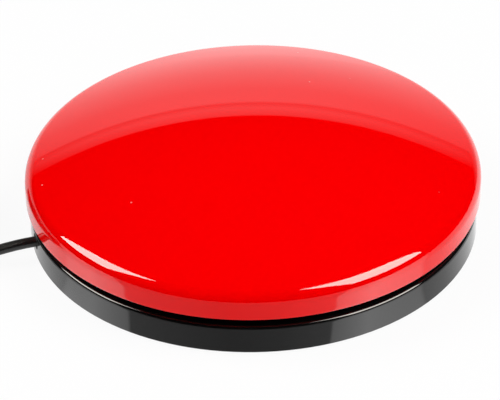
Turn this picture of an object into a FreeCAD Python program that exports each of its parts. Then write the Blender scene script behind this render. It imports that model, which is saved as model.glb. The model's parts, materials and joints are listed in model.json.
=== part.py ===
import FreeCAD, Part
import math
import os
import re
import types
import Sketcher

# A wired push button: a domed cap on three sprung guide posts over a low round base,
# with a snap-action switch in the middle and a cord that leaves the base at its side.
# Millimetres, +Z up, origin on the table under the middle of the base, front towards -Y.

V = FreeCAD.Vector
UP = V(0, 0, 1)
AHEAD = V(0, 1, 0)
ORIGIN = V(0, 0, 0)

# Driving sizes, in millimetres and degrees
sizes = {
    # Base
    "base_radius": 62.5,
    "base_height": 8.3,
    "base_wall": 2.5,
    "deck_thickness": 1.6,
    "base_edge_round": 1.1,
    "base_foot_round": 0.3,
    "collar_gap": 3.0,
    "collar_wall": 2.0,
    "collar_height": 6.8,
    "ledge_width": 1.0,
    "plate_thickness": 1.8,
    "plate_clearance": 0.1,
    "base_screw_inset": 2.5,
    "base_screw_azimuth": 45.0,
    "screw_boss_radius": 3.5,
    # Feet and threaded inserts
    "foot_proud": 0.4,
    "foot_recess": 1.0,
    "foot_radius": 6.0,
    "foot_inset": 11.0,
    "foot_azimuth": 0.0,
    "foot_round": 0.3,
    "insert_circle": 30.0,
    "insert_radius": 2.8,
    "insert_bore": 1.65,
    "insert_length": 5.0,
    "insert_boss_radius": 4.5,
    # Cap
    "cap_overhang": 1.0,
    "cap_wall": 2.5,
    "cap_height": 19.0,
    "skirt_gap": 3.0,
    "dome_radius": 178.0,
    "cap_edge_round": 4.2,
    "lip_round": 0.4,
    "cap_boss_radius": 3.5,
    "ring_wall": 1.8,
    "ring_clearance": 0.2,
    "ring_overlap": 1.6,
    # Carrier plate
    "carrier_thickness": 2.5,
    "stiffener_width": 2.0,
    "stiffener_depth": 2.0,
    "pusher_radius": 1.5,
    "pusher_drop": 0.75,
    # Guides, springs and stops
    "press_travel": 1.5,
    "guide_circle": 38.0,
    "guide_azimuth": 90.0,
    "stop_azimuth": 30.0,
    "post_radius": 3.0,
    "guide_clearance": 0.05,
    "bush_wall": 1.0,
    "bush_flange": 1.0,
    "boss_wall": 1.5,
    "boss_height": 3.3,
    "washer_radius": 5.0,
    "washer_thickness": 0.5,
    "damper_thickness": 0.8,
    "stop_gap": 0.1,
    "bumper_radius": 4.0,
    "bumper_height": 2.4,
    "stem_radius": 2.0,
    "stem_length": 3.0,
    "stem_space": 0.2,
    "spring_wire": 0.8,
    "spring_clearance": 0.3,
    "spring_margin": 1.35,
    "spring_turns": 4.25,
    # Screws
    "screw_radius": 1.5,
    "head_radius": 2.75,
    "head_height": 1.4,
    "socket_width": 2.0,
    "socket_depth": 0.8,
    "guide_screw_length": 8.0,
    "cap_screw_length": 6.0,
    "base_screw_length": 5.3,
    "thread_space": 0.4,
    "sunk_head_radius": 2.8,
    "sunk_head_height": 1.3,
    "fit_gap": 0.02,
    "hole_clearance": 0.2,
    # Snap-action switch
    "case_length": 19.8,
    "case_width": 6.4,
    "case_height": 10.2,
    "case_wall": 0.8,
    "case_overhang": 2.0,
    "opening_clearance": 0.3,
    "contact_gap": 0.05,
    "lever_arm": 11.0,
    "lever_length": 14.0,
    "lever_angle": 10.0,
    "lever_thickness": 0.3,
    "lever_width": 3.6,
    "pivot_rise": 0.35,
    "pivot_radius": 0.25,
    "ear_length": 1.6,
    "ear_height": 0.9,
    "ear_thickness": 0.7,
    "ear_clearance": 0.1,
    "plunger_arm": 6.5,
    "plunger_radius": 1.0,
    "plunger_collar": 0.5,
    "plunger_lost_motion": 0.6,
    "blade_drop": 2.7,
    "blade_thickness": 0.3,
    "blade_width": 3.0,
    "blade_end": 0.3,
    "blade_swing": 3.9,
    "roll_radius": 0.45,
    "contact_radius": 0.7,
    "contact_height": 0.6,
    "seat_length": 1.6,
    "seat_thickness": 0.6,
    "com_inset": 2.5,
    "make_inset": 1.6,
    "lug_width": 3.0,
    "lug_thickness": 0.5,
    "lug_length": 1.4,
    "post_width": 1.0,
    "eye_radius": 0.45,
    "eye_rise": 0.7,
    "fixing_inset": 2.7,
    "fixing_radius": 1.0,
    "fixing_head": 1.6,
    "fixing_head_height": 1.3,
    "fixing_gap": 0.1,
    "fixing_clearance": 0.1,
    "pillar_wall": 0.4,
    "slot_width": 0.5,
    "slot_depth": 0.5,
    "rib_thickness": 3.0,
    "rib_height": 5.8,
    "rib_inset": 1.0,
    # Cord and its fixing inside the base
    "cord_radius": 1.5,
    "cord_headroom": 0.2,
    "exit_azimuth": 195.0,
    "grommet_wall": 0.8,
    "grommet_flange": 1.5,
    "grommet_width": 8.0,
    "grommet_depth": 3.4,
    "grommet_rise": 1.0,
    "grommet_overlap": 0.3,
    "rim_clearance": 0.15,
    "inner_cable_length": 21.0,
    "clamp_inset": 10.0,
    "clamp_spread": 5.0,
    "clamp_margin": 2.5,
    "clamp_length": 6.0,
    "clamp_thickness": 1.2,
    "clamp_wall": 1.0,
    "clamp_screw_radius": 1.0,
    "clamp_screw_length": 3.0,
    "clamp_head_radius": 1.9,
    "clamp_head_height": 1.1,
    "wire_radius": 0.4,
    "wire_spacing": 1.4,
    "wire_reach": 0.65,
    "wire_turn": 2.0,
    # Coil of the spare length, its tie and the plug
    "coil_radius": 18.0,
    "coil_gap": 0.6,
    "coil_turns": 15.2,
    "tie_thickness": 0.75,
    "tie_clearance": 0.15,
    "tie_width": 8.0,
    "tie_azimuth": 120.0,
    "tie_bend": 2.4,
    "tie_inner_bend": 1.65,
    "boot_length": 10.0,
    "boot_radius": 2.3,
    "grip_length": 18.0,
    "grip_radius": 4.5,
    "sleeve_radius": 1.75,
    "sleeve_length": 9.4,
    "sleeve_rim": 0.9,
    "insulator_length": 0.8,
    "tip_length": 4.0,
    "tip_neck": 1.25,
    "tip_end": 0.5,
}

# Heights and places that follow from the driving sizes
levels = {
    "base_bottom": "foot_proud",
    "base_top": "foot_proud + base_height",
    "plate_top": "foot_proud + plate_thickness",
    "deck_bottom": "base_top - deck_thickness",
    "wall_inside": "base_radius - base_wall",
    "ledge_radius": "wall_inside + ledge_width",
    "base_screw_circle": "wall_inside - screw_boss_radius - base_screw_inset",
    "foot_circle": "wall_inside - foot_inset",
    "clamp_circle": "wall_inside - clamp_inset",
    "clamp_width": "2 * (clamp_spread + clamp_margin)",
    "cap_radius": "base_radius + cap_overhang",
    "cap_inside": "cap_radius - cap_wall",
    "collar_outside": "cap_inside - collar_gap",
    "collar_inside": "collar_outside - collar_wall",
    "skirt_bottom": "base_top + skirt_gap",
    "crown_top": "skirt_bottom + cap_height",
    "dome_middle": "crown_top - dome_radius",
    "bush_bore": "post_radius + guide_clearance",
    "bush_outside": "bush_bore + bush_wall",
    "boss_outside": "bush_outside + boss_wall",
    "boss_top": "base_top + boss_height",
    "spring_radius": "boss_outside + spring_clearance + spring_wire / 2",
    "spring_outside": "spring_radius + spring_wire / 2",
    "carrier_radius": "guide_circle + spring_outside + spring_margin",
    "ring_inside": "carrier_radius + ring_clearance",
    "ring_outside": "ring_inside + ring_wall",
    "carrier_top": "dome_middle + sqrt((dome_radius - cap_wall) ^ 2 - ring_outside ^ 2)",
    "carrier_bottom": "carrier_top - carrier_thickness",
    "stiffener_outside": "guide_circle - spring_outside - spring_margin",
    "stiffener_inside": "stiffener_outside - stiffener_width",
    "cap_screw_circle": "stiffener_inside - head_radius - spring_margin",
    "thread_radius": "screw_radius + fit_gap",
    "screw_hole": "screw_radius + hole_clearance",
    "post_end": "deck_bottom - damper_thickness - contact_gap",
    "washer_bottom": "post_end - washer_thickness",
    "bumper_top": "carrier_bottom - press_travel - stop_gap",
    "bumper_seat": "bumper_top - bumper_height",
    "pusher_middle": "carrier_bottom + pusher_radius - pusher_drop",
    "pivot_level": "pusher_middle - lever_arm * tan(lever_angle)"
    " - (pusher_radius + contact_gap + lever_thickness / 2) / cos(lever_angle)",
    "case_top": "pivot_level - pivot_rise",
    "case_bottom": "case_top - case_height",
    "case_left": "-lever_arm - case_overhang",
    "case_right": "case_left + case_length",
    "case_front": "-case_width / 2",
    "case_back": "case_width / 2",
    "room_front": "case_front + case_wall",
    "com_place": "case_left + com_inset",
    "make_place": "case_right - case_wall - make_inset",
    "plunger_place": "plunger_arm - lever_arm",
    "plunger_ball": "pivot_level + plunger_arm * tan(lever_angle) - contact_gap"
    " - (lever_thickness / 2 + plunger_radius) / cos(lever_angle)",
    "blade_level": "case_top - blade_drop",
    "plunger_bottom": "blade_level + blade_thickness / 2 + plunger_lost_motion",
    "make_top": "blade_level - blade_thickness / 2 - contact_height - contact_gap"
    " - (make_place - com_place + contact_radius) * tan(blade_swing)",
    "com_top": "blade_level - roll_radius - contact_gap",
    "lug_bottom": "case_bottom - lug_length",
    "eye_level": "lug_bottom + eye_rise",
    "fixing_middle": "(com_place + make_place) / 2",
    "fixing_spacing": "make_place - com_place - 2 * fixing_inset",
    "fixing_level": "base_top + fixing_head + fixing_gap",
    "fixing_hole": "fixing_radius + fixing_clearance",
    "exit_level": "deck_bottom - cord_radius - cord_headroom",
    "wire_level": "(plate_top + deck_bottom) / 2",
    "coil_pitch": "2 * cord_radius + coil_gap",
    "coil_inside": "coil_radius - coil_pitch * coil_turns / 8",
    "coil_outside": "coil_radius + coil_pitch * coil_turns / 8",
    "coil_level": "tie_thickness + tie_clearance + cord_radius",
    "coil_top_level": "coil_level + 3 * coil_pitch",
}

# The cord's hand-chosen route: length, turn from the way out of the base, height lost
lead_steps = [(4.5, 0.0, 0.0), (8.0, 0.0, 1.05), (12.0, -1.5, 1.95), (13.5, -5.0, 0.0)]
tail_steps = [(7.0, 0.0, 0.0), (11.0, -8.0, 3.5), (13.0, -17.0, 5.2), (8.0, -23.0, 0.0)]

doc = FreeCAD.newDocument("AdaptiveSwitchButton")


def fill_sheet(name, rows):
    sheet = doc.addObject("Spreadsheet::Sheet", name)
    for row, (alias, text) in enumerate(rows.items(), start=1):
        sheet.set("A%d" % row, alias)
        sheet.set("B%d" % row, text)
        sheet.setAlias("B%d" % row, alias)
    doc.recompute()
    return sheet


def formula(text, home=""):
    """The text as an expression, with its sheet written before each name."""

    def full(word):
        name = word.group(0)
        if name in sizes:
            return "Sizes." + name
        if name in levels:
            return home + name
        return name

    return re.sub(r"[a-z][a-z_]+", full, text)


sizes_sheet = fill_sheet("Sizes", {name: str(size) for name, size in sizes.items()})
levels_sheet = fill_sheet("Levels", {name: "=" + formula(text) for name, text in levels.items()})
found = {name: sizes_sheet.get(name) for name in sizes}
found.update({name: levels_sheet.get(name) for name in levels})
v = types.SimpleNamespace(**found)
nodes = []


def value(text):
    return float(sizes_sheet.evalExpression(formula(text, "Levels.")))


def bind(thing, ways):
    for path, text in ways.items():
        thing.setExpression(path, formula(text, "Levels."))
    return thing


def node(thing, label):
    thing.Label = label
    nodes.append(thing)
    return thing


def spots(circle, azimuth, count):
    """Letter and place of each copy spread evenly on a circle."""
    for k in range(count):
        angle = "%s + %g" % (azimuth, 360 / count * k)
        yield "abcdef"[k], "%s * cos(%s)" % (circle, angle), "%s * sin(%s)" % (circle, angle)


# Primitives and booleans


def placed(kind, name, own, x, y, z):
    thing = doc.addObject(kind, name)
    return bind(thing, {"Placement.Base.x": x, "Placement.Base.y": y, "Placement.Base.z": z, **own})


def cylinder(name, radius, height, x="0", y="0", z="0"):
    return placed("Part::Cylinder", name, {"Radius": radius, "Height": height}, x, y, z)


def sphere(name, radius, x="0", y="0", z="0"):
    return placed("Part::Sphere", name, {"Radius": radius}, x, y, z)


def cone(name, low_radius, high_radius, height, x="0", y="0", z="0"):
    own = {"Radius1": low_radius, "Radius2": high_radius, "Height": height}
    return placed("Part::Cone", name, own, x, y, z)


def box(name, length, width, height, x="0", y="0", z="0"):
    own = {"Length": length, "Width": width, "Height": height}
    return placed("Part::Box", name, own, x, y, z)


def socket(name, x, y, z):
    thing = placed("Part::Prism", name, {"Height": "socket_depth"}, x, y, z)
    thing.Polygon = 6
    return bind(thing, {"Circumradius": "socket_width / 2 / cos(30)"})


def aimed(thing, rotation):
    thing.Placement = FreeCAD.Placement(thing.Placement.Base, rotation)
    return thing


def crosswise(name, radius, length, x, y, z):
    """A cylinder towards +Y."""
    return aimed(cylinder(name, radius, length, x, y, z), FreeCAD.Rotation(V(1, 0, 0), -90))


def beside(distance, sideways):
    """A place out along the cord's way out of the base, and to its left."""
    x = "(%s) * cos(exit_azimuth) - (%s) * sin(exit_azimuth)" % (distance, sideways)
    y = "(%s) * sin(exit_azimuth) + (%s) * cos(exit_azimuth)" % (distance, sideways)
    return x, y


def outwards(name, radius, length, start):
    """A cylinder along the cord's way out of the base."""
    x, y = beside(start, "0")
    turn = FreeCAD.Rotation(UP, v.exit_azimuth) * FreeCAD.Rotation(AHEAD, 90)
    return aimed(cylinder(name, radius, length, x, y, "exit_level"), turn)


def outward_box(name, length, width, height, start, z, sideways="0"):
    x, y = beside(start, "%s - (%s) / 2" % (sideways, width))
    return bind(box(name, length, width, height, x, y, z), {"Placement.Rotation.Angle": "exit_azimuth"})


def cut(name, base, tool):
    thing = doc.addObject("Part::Cut", name)
    thing.Base = base
    thing.Tool = tool
    return thing


def fuse(name, *shapes):
    thing = doc.addObject("Part::MultiFuse", name)
    thing.Shapes = list(shapes)
    return thing


def common(name, *shapes):
    thing = doc.addObject("Part::MultiCommon", name)
    thing.Shapes = list(shapes)
    return thing


def feature(name, shape):
    thing = doc.addObject("Part::Feature", name)
    thing.Shape = shape
    return thing


def same(a, b):
    return abs(a - b) < 1e-4


def is_ring(edge, radius, height):
    if edge.Degenerated or not isinstance(edge.Curve, Part.Circle):
        return False
    middle = edge.Curve.Center
    level = same(abs(edge.Curve.Axis.z), 1)
    return level and same(edge.Curve.Radius, radius) and same(middle.z, height)


def is_crosswise(edge):
    return isinstance(edge.Curve, Part.Line) and same(abs(edge.Curve.Direction.y), 1)


def picked(shape, test, *more):
    numbers = [k for k, edge in enumerate(shape.Edges, start=1) if test(edge, *more)]
    if not numbers:
        raise ValueError("no edge for %s %s" % (test.__name__, more))
    return numbers


def rounded(name, base, radius, test, *more):
    doc.recompute()
    thing = doc.addObject("Part::Fillet", name)
    thing.Base = base
    thing.Edges = [(k, radius, radius) for k in picked(base.Shape, test, *more)]
    return thing


# Sketches and features of the moulded and turned bodies


def origin_part(body, role):
    return [part for part in body.Origin.OriginFeatures if part.Role == role][0]


def new_body(name):
    return doc.addObject("PartDesign::Body", name)


def new_sketch(body, name, role="XY_Plane", level="0", angle="0"):
    sketch = body.newObject("Sketcher::SketchObject", name)
    sketch.AttachmentSupport = [(origin_part(body, role), "")]
    sketch.MapMode = "FlatFace"
    return bind(sketch, {"AttachmentOffset.Base.z": level, "AttachmentOffset.Rotation.Angle": angle})


def pin_point(sketch, index, spot, x, y):
    for way, text in (("DistanceX", x), ("DistanceY", y)):
        number = sketch.addConstraint(Sketcher.Constraint(way, -1, 1, index, spot, value(text)))
        bind(sketch, {"Constraints[%d]" % number: text})


def polygon(sketch, points):
    first = sketch.GeometryCount
    count = len(points)
    corners = [V(value(x), value(y), 0) for x, y in points]
    for k in range(count):
        sketch.addGeometry(Part.LineSegment(corners[k], corners[(k + 1) % count]), False)
    for k in range(count):
        after = first + (k + 1) % count
        sketch.addConstraint(Sketcher.Constraint("Coincident", first + k, 2, after, 1))
    for k, (x, y) in enumerate(points):
        pin_point(sketch, first + k, 1, x, y)
    return sketch


def circle(sketch, radius, x="0", y="0"):
    index = sketch.addGeometry(Part.Circle(V(value(x), value(y), 0), UP, value(radius)), False)
    pin_point(sketch, index, 3, x, y)
    number = sketch.addConstraint(Sketcher.Constraint("Radius", index, value(radius)))
    bind(sketch, {"Constraints[%d]" % number: radius})
    return sketch


def revolve(body, name, sketch, axis):
    made = body.newObject("PartDesign::Revolution", name)
    made.Profile = sketch
    made.ReferenceAxis = (sketch, [axis])
    made.Angle = 360
    doc.recompute()
    return made


def pad(body, name, sketch, length):
    made = body.newObject("PartDesign::Pad", name)
    made.Profile = sketch
    bind(made, {"Length": length})
    doc.recompute()
    return made


def pocket(body, name, sketch, length):
    before = body.Shape.Volume
    made = body.newObject("PartDesign::Pocket", name)
    made.Profile = sketch
    bind(made, {"Length": length})
    doc.recompute()
    if body.Shape.Volume > before - 0.01:
        raise ValueError("pocket %s takes nothing away" % name)
    return made


def pattern(body, name, original, count):
    made = body.newObject("PartDesign::PolarPattern", name)
    made.Originals = [original]
    made.Axis = (origin_part(body, "Z_Axis"), [""])
    made.Angle = 360
    made.Occurrences = count
    body.Tip = made
    doc.recompute()
    return made


def soften(body, name, radius, ring_radius, height):
    base = body.Tip
    names = ["Edge%d" % k for k in picked(base.Shape, is_ring, ring_radius, height)]
    made = body.newObject("PartDesign::Fillet", name)
    made.Base = (base, names)
    bind(made, {"Radius": radius})
    doc.recompute()
    return made


# Paths and tubes


def arc_between(start, corner, end):
    """The arc that is tangent at start and end to the lines that meet at corner."""
    chord = (start + end) * 0.5
    rise = corner - chord
    half = (end - start).Length / 2
    sagitta = half * math.tan(math.atan2(rise.Length, half) / 2)
    return Part.Arc(start, chord + rise * (sagitta / rise.Length), end).toShape()


def route_edges(points):
    """Straight runs joined by tangent arcs, each as large as its two runs allow."""
    edges = []
    radii = []
    here = points[0]
    for before, corner, after in zip(points, points[1:], points[2:]):
        back = before - corner
        ahead = after - corner
        reach = 0.45 * min(back.Length, ahead.Length)
        turn = math.pi - back.getAngle(ahead)
        start = corner + back.normalize() * reach
        end = corner + ahead.normalize() * reach
        edges.append(Part.LineSegment(here, start).toShape())
        edges.append(arc_between(start, corner, end))
        radii.append(reach / math.tan(turn / 2))
        here = end
    edges.append(Part.LineSegment(here, points[-1]).toShape())
    return edges, radii


def tube_along(edges, radius):
    path = Part.Wire(edges)
    start = edges[0].Vertexes[0].Point
    heading = edges[0].tangentAt(edges[0].FirstParameter)
    profile = Part.Wire([Part.Circle(start, heading, radius).toShape()])
    solid = path.makePipeShell([profile], True, False)
    expected = math.pi * radius**2 * path.Length
    if abs(solid.Volume - expected) > 0.01 * expected:
        raise ValueError("tube volume %.2f, expected %.2f" % (solid.Volume, expected))
    return solid


def routed_tube(label, points, radius):
    edges, radii = route_edges(points)
    print(label, "arc radii", [round(r, 1) for r in radii])
    node(feature(label, tube_along(edges, radius)), label)


def biarc(start, heading, end, last_heading):
    """Two arcs that leave start along heading and reach end along last_heading."""
    across = end - start
    both = heading + last_heading
    spread = 2 * (1 - heading.dot(last_heading))
    along = across.dot(both)
    reach = (math.sqrt(along**2 + spread * across.dot(across)) - along) / spread
    first = start + heading * reach
    second = end - last_heading * reach
    join = (first + second) * 0.5
    return [arc_between(start, first, join), arc_between(join, second, end)]


def heading_at(point_at, turn):
    return (point_at(turn + 1e-5) - point_at(turn - 1e-5)).normalize()


def curve_edges(point_at, turns):
    """Biarcs of about a quarter turn along point_at, which takes a number of turns."""
    count = math.ceil(4 * turns)
    stops = [turns * k / count for k in range(count + 1)]
    edges = []
    for low, high in zip(stops, stops[1:]):
        headings = heading_at(point_at, low), heading_at(point_at, high)
        edges += biarc(point_at(low), headings[0], point_at(high), headings[1])
    return edges


def least_gap(point_at, turns, radius, per_turn=72):
    """Smallest space between a wound tube's own turns, measured on points."""
    points = [point_at(k / per_turn) for k in range(int(turns * per_turn) + 1)]
    least = math.inf
    for k, point in enumerate(points):
        for other in points[k + per_turn // 2 :]:
            least = min(least, (point - other).Length)
    return least - 2 * radius


def walk(start, heading, steps):
    """Points reached by steps of length, turn from heading in degrees, and height lost."""
    points = [start]
    for length, turn, drop in steps:
        angle = math.radians(heading + turn)
        points.append(points[-1] + V(length * math.cos(angle), length * math.sin(angle), -drop))
    return points


def out_point(distance, sideways, height):
    """A point along the cord's way out of the base, and to its left."""
    x, y = beside(repr(distance), repr(sideways))
    return V(value(x), value(y), height)


# The cap, and the carrier plate that it is screwed to


def make_button_cap():
    drum = cylinder("cap_drum", "cap_radius", "cap_height", z="skirt_bottom")
    ball = sphere("cap_ball", "dome_radius", z="dome_middle")
    outside = common("cap_outside", drum, ball)
    rim = v.dome_middle + math.sqrt(v.dome_radius**2 - v.cap_radius**2)
    eased = rounded("cap_eased", outside, v.cap_edge_round, is_ring, v.cap_radius, rim)
    smooth = rounded("cap_smooth", eased, v.lip_round, is_ring, v.cap_radius, v.skirt_bottom)
    hollow_drum = cylinder("cap_hollow_drum", "cap_inside", "cap_height", z="skirt_bottom")
    hollow_ball = sphere("cap_hollow_ball", "dome_radius - cap_wall", z="dome_middle")
    hollow = common("cap_hollow", hollow_drum, hollow_ball)
    inner_dome = v.dome_radius - v.cap_wall
    hollow_rim = v.dome_middle + math.sqrt(inner_dome**2 - v.cap_inside**2)
    inner_round = v.cap_edge_round - v.cap_wall
    hollow_eased = rounded("cap_hollow_eased", hollow, inner_round, is_ring, v.cap_inside, hollow_rim)
    shell = cut("cap_shell", smooth, hollow_eased)

    ring_low = "carrier_top - ring_overlap"
    ring = cut(
        "cap_ring",
        cylinder("cap_ring_outside", "ring_outside", "cap_height", z=ring_low),
        cylinder("cap_ring_inside", "ring_inside", "cap_height", z=ring_low),
    )
    bosses = [
        cylinder("cap_boss_" + letter, "cap_boss_radius", "cap_height", x, y, "carrier_top")
        for letter, x, y in spots("cap_screw_circle", "stop_azimuth", 3)
    ]
    pilot_depth = "cap_screw_length - carrier_thickness + thread_space"
    pilots = [
        cylinder("cap_pilot_" + letter, "thread_radius", pilot_depth, x, y, "carrier_top")
        for letter, x, y in spots("cap_screw_circle", "stop_azimuth", 3)
    ]
    inside_skin = sphere("cap_inside_skin", "dome_radius - cap_wall / 2", z="dome_middle")
    inner = common("cap_inner", fuse("cap_inner_tall", ring, *bosses), inside_skin)
    node(cut("cap_drilled", fuse("cap_whole", shell, inner), fuse("cap_pilots", *pilots)), "button_cap")


def make_carrier_plate():
    body = new_body("carrier_body")
    disc = circle(new_sketch(body, "carrier_disc", level="carrier_bottom"), "carrier_radius")
    pad(body, "carrier_disc_pad", disc, "carrier_thickness")
    stiffener = new_sketch(body, "stiffener", level="carrier_bottom - stiffener_depth")
    circle(stiffener, "stiffener_outside")
    circle(stiffener, "stiffener_inside")
    pad(body, "stiffener_pad", stiffener, "stiffener_depth")
    post = new_sketch(body, "guide_post", level="post_end", angle="guide_azimuth")
    circle(post, "post_radius", "guide_circle")
    pattern(body, "guide_posts", pad(body, "guide_post_pad", post, "carrier_bottom - post_end"), 3)
    thread = new_sketch(body, "post_thread", level="post_end + guide_screw_length", angle="guide_azimuth")
    circle(thread, "thread_radius", "guide_circle")
    pattern(body, "post_threads", pocket(body, "post_thread_cut", thread, "guide_screw_length"), 3)
    hole = new_sketch(body, "carrier_hole", level="carrier_top", angle="stop_azimuth")
    circle(hole, "screw_hole", "cap_screw_circle")
    pattern(body, "carrier_holes", pocket(body, "carrier_hole_cut", hole, "carrier_thickness"), 3)
    stem = cylinder("pusher_stem", "pusher_radius", "carrier_top - pusher_middle", z="pusher_middle")
    nub = sphere("pusher_nub", "pusher_radius", z="pusher_middle")
    node(fuse("carrier_whole", body, stem, nub), "carrier_plate")


def pan_screw(name, length, x, y, seat):
    """A screw that points up, with its head under the seat and a six-sided socket."""
    head_low = seat + " - head_height"
    shank = cylinder(name + "_shank", "screw_radius", length, x, y, seat)
    head = cylinder(name + "_head", "head_radius", "head_height", x, y, head_low)
    return cut(name + "_cut", fuse(name + "_solid", shank, head), socket(name + "_socket", x, y, head_low))


def make_cap_screw(letter, x, y):
    name = "cap_screw_" + letter
    node(pan_screw(name, "cap_screw_length", x, y, "carrier_bottom"), name)


# The base, with its deck, collar, bosses and the rib for the switch


def base_body():
    body = new_body("base_body")
    outline = new_sketch(body, "base_outline", "XZ_Plane")
    collar_top = "base_top + collar_height"
    corners = [
        ("0", "deck_bottom"),
        ("wall_inside", "deck_bottom"),
        ("wall_inside", "plate_top"),
        ("ledge_radius", "plate_top"),
        ("ledge_radius", "base_bottom"),
        ("base_radius", "base_bottom"),
        ("base_radius", "base_top"),
        ("collar_outside", "base_top"),
        ("collar_outside", collar_top),
        ("collar_inside", collar_top),
        ("collar_inside", "base_top"),
        ("0", "base_top"),
    ]
    revolve(body, "base_turned", polygon(outline, corners), "V_Axis")
    soften(body, "base_top_round", "base_edge_round", v.base_radius, v.base_top)
    soften(body, "base_low_round", "base_foot_round", v.base_radius, v.base_bottom)
    return body


def add_round(body, name, radius, way, azimuth, count, low, high):
    sketch = new_sketch(body, name, level=low, angle=azimuth)
    circle(sketch, radius, way)
    pattern(body, name + "_ring", pad(body, name + "_pad", sketch, "%s - (%s)" % (high, low)), count)


def drill_round(body, name, radius, way, azimuth, count, top, depth):
    sketch = new_sketch(body, name, level=top, angle=azimuth)
    circle(sketch, radius, way)
    pattern(body, name + "_ring", pocket(body, name + "_cut", sketch, depth), count)


def add_base_bosses(body):
    guide = "guide_circle", "guide_azimuth", 3
    stop = "guide_circle", "stop_azimuth", 3
    screw = "base_screw_circle", "base_screw_azimuth", 6
    insert = "insert_circle", "stop_azimuth", 3
    add_round(body, "guide_boss", "boss_outside", *guide, "base_top", "boss_top")
    add_round(body, "stop_post", "bumper_radius", *stop, "base_top", "bumper_seat")
    add_round(body, "screw_boss", "screw_boss_radius", *screw, "plate_top", "deck_bottom")
    add_round(body, "insert_boss", "insert_boss_radius", *insert, "base_bottom", "deck_bottom")
    clamp = new_sketch(body, "clamp_boss", level="exit_level", angle="exit_azimuth")
    circle(clamp, "clamp_head_radius", "clamp_circle", "clamp_spread")
    circle(clamp, "clamp_head_radius", "clamp_circle", "-clamp_spread")
    pad(body, "clamp_boss_pad", clamp, "deck_bottom - exit_level")
    rib = new_sketch(body, "switch_rib", level="base_top")
    rib_left = "case_left + rib_inset"
    rib_right = "case_right - rib_inset"
    rib_back = "case_back + rib_thickness"
    polygon(
        rib,
        [(rib_left, "case_back"), (rib_right, "case_back"), (rib_right, rib_back), (rib_left, rib_back)],
    )
    pad(body, "switch_rib_pad", rib, "rib_height")

    drill_round(body, "bush_hole", "bush_outside + fit_gap", *guide, "boss_top", "boss_top - deck_bottom")
    drill_round(body, "stem_hole", "stem_radius + fit_gap", *stop, "bumper_seat", "stem_length + stem_space")
    thread_top = "base_bottom + sunk_head_height + base_screw_length + thread_space"
    drill_round(body, "base_thread", "thread_radius", *screw, thread_top, thread_top + " - plate_top")
    insert_top = "base_bottom + insert_length"
    drill_round(body, "insert_hole", "insert_radius + fit_gap", *insert, insert_top, "insert_length")


def cut_base_openings(body):
    opening = new_sketch(body, "switch_opening", level="base_top")
    left = "case_left - opening_clearance"
    right = "case_right + opening_clearance"
    front = "case_front - opening_clearance"
    polygon(opening, [(left, front), (right, front), (right, "case_back"), (left, "case_back")])
    pocket(body, "switch_opening_cut", opening, "deck_thickness")
    depth = "clamp_screw_length - clamp_thickness + thread_space"
    pilots = new_sketch(body, "clamp_pilots", level="exit_level + " + depth, angle="exit_azimuth")
    circle(pilots, "clamp_screw_radius + fit_gap", "clamp_circle", "clamp_spread")
    circle(pilots, "clamp_screw_radius + fit_gap", "clamp_circle", "-clamp_spread")
    pocket(body, "clamp_pilots_cut", pilots, depth)


def fixing_places():
    offset = "fixing_spacing / 2"
    return [("a", "fixing_middle - " + offset), ("b", "fixing_middle + " + offset)]


def make_base_shell():
    body = base_body()
    add_base_bosses(body)
    cut_base_openings(body)
    hole_radius = "cord_radius + grommet_wall + fit_gap"
    start = "wall_inside - grommet_flange"
    holes = [outwards("cord_hole", hole_radius, "base_wall + 2 * grommet_flange", start)]
    for letter, x in fixing_places():
        tight = "fixing_radius + fit_gap", "rib_thickness"
        holes.append(crosswise("rib_hole_" + letter, *tight, x, "case_back", "fixing_level"))
    node(cut("base_drilled", body, fuse("base_side_holes", *holes)), "base_shell")


# Guides, stops and springs of the moving part


def make_guide_bush(letter, x, y):
    name = "guide_bush_" + letter
    height = "boss_top + bush_flange - deck_bottom"
    tube = cylinder(name + "_tube", "bush_outside", height, x, y, "deck_bottom")
    rim = cylinder(name + "_rim", "boss_outside", "bush_flange", x, y, "boss_top")
    bore = cylinder(name + "_bore", "bush_bore", height, x, y, "deck_bottom")
    node(cut(name + "_cut", fuse(name + "_solid", tube, rim), bore), name)


def make_ring(name, radius, hole, thickness, x, y, z):
    disc = cylinder(name + "_disc", radius, thickness, x, y, z)
    node(cut(name + "_cut", disc, cylinder(name + "_hole", hole, thickness, x, y, z)), name)


def make_post_end(letter, x, y):
    """Rubber ring, washer and screw on the end of a guide post."""
    hole = "post_radius + fit_gap"
    make_ring("damper_ring_" + letter, "washer_radius", hole, "damper_thickness", x, y, "post_end")
    name = "guide_washer_" + letter
    make_ring(name, "washer_radius", "screw_hole", "washer_thickness", x, y, "washer_bottom")
    name = "guide_screw_" + letter
    length = "guide_screw_length + washer_thickness - thread_space"
    node(pan_screw(name, length, x, y, "washer_bottom"), name)


def make_stop_bumper(letter, x, y):
    name = "stop_bumper_" + letter
    head = cylinder(name + "_head", "bumper_radius", "bumper_height", x, y, "bumper_seat")
    stem = cylinder(name + "_stem", "stem_radius", "stem_length", x, y, "bumper_seat - stem_length")
    node(fuse(name + "_whole", head, stem), name)


def make_springs():
    low = v.base_top + v.spring_wire / 2
    rise = v.carrier_bottom - v.base_top - v.spring_wire

    def on_spring(turn):
        angle = 2 * math.pi * turn
        around = V(math.cos(angle), math.sin(angle), 0) * v.spring_radius
        return V(v.guide_circle, 0, low + rise * turn / v.spring_turns) + around

    print("spring turns, least gap", round(least_gap(on_spring, v.spring_turns, v.spring_wire / 2), 2))
    spring = tube_along(curve_edges(on_spring, v.spring_turns), v.spring_wire / 2)
    for k, letter in enumerate("abc"):
        name = "return_spring_" + letter
        copy = node(feature(name, spring), name)
        copy.Placement = FreeCAD.Placement(ORIGIN, FreeCAD.Rotation(UP, v.guide_azimuth + 120 * k))


# The underside


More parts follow.
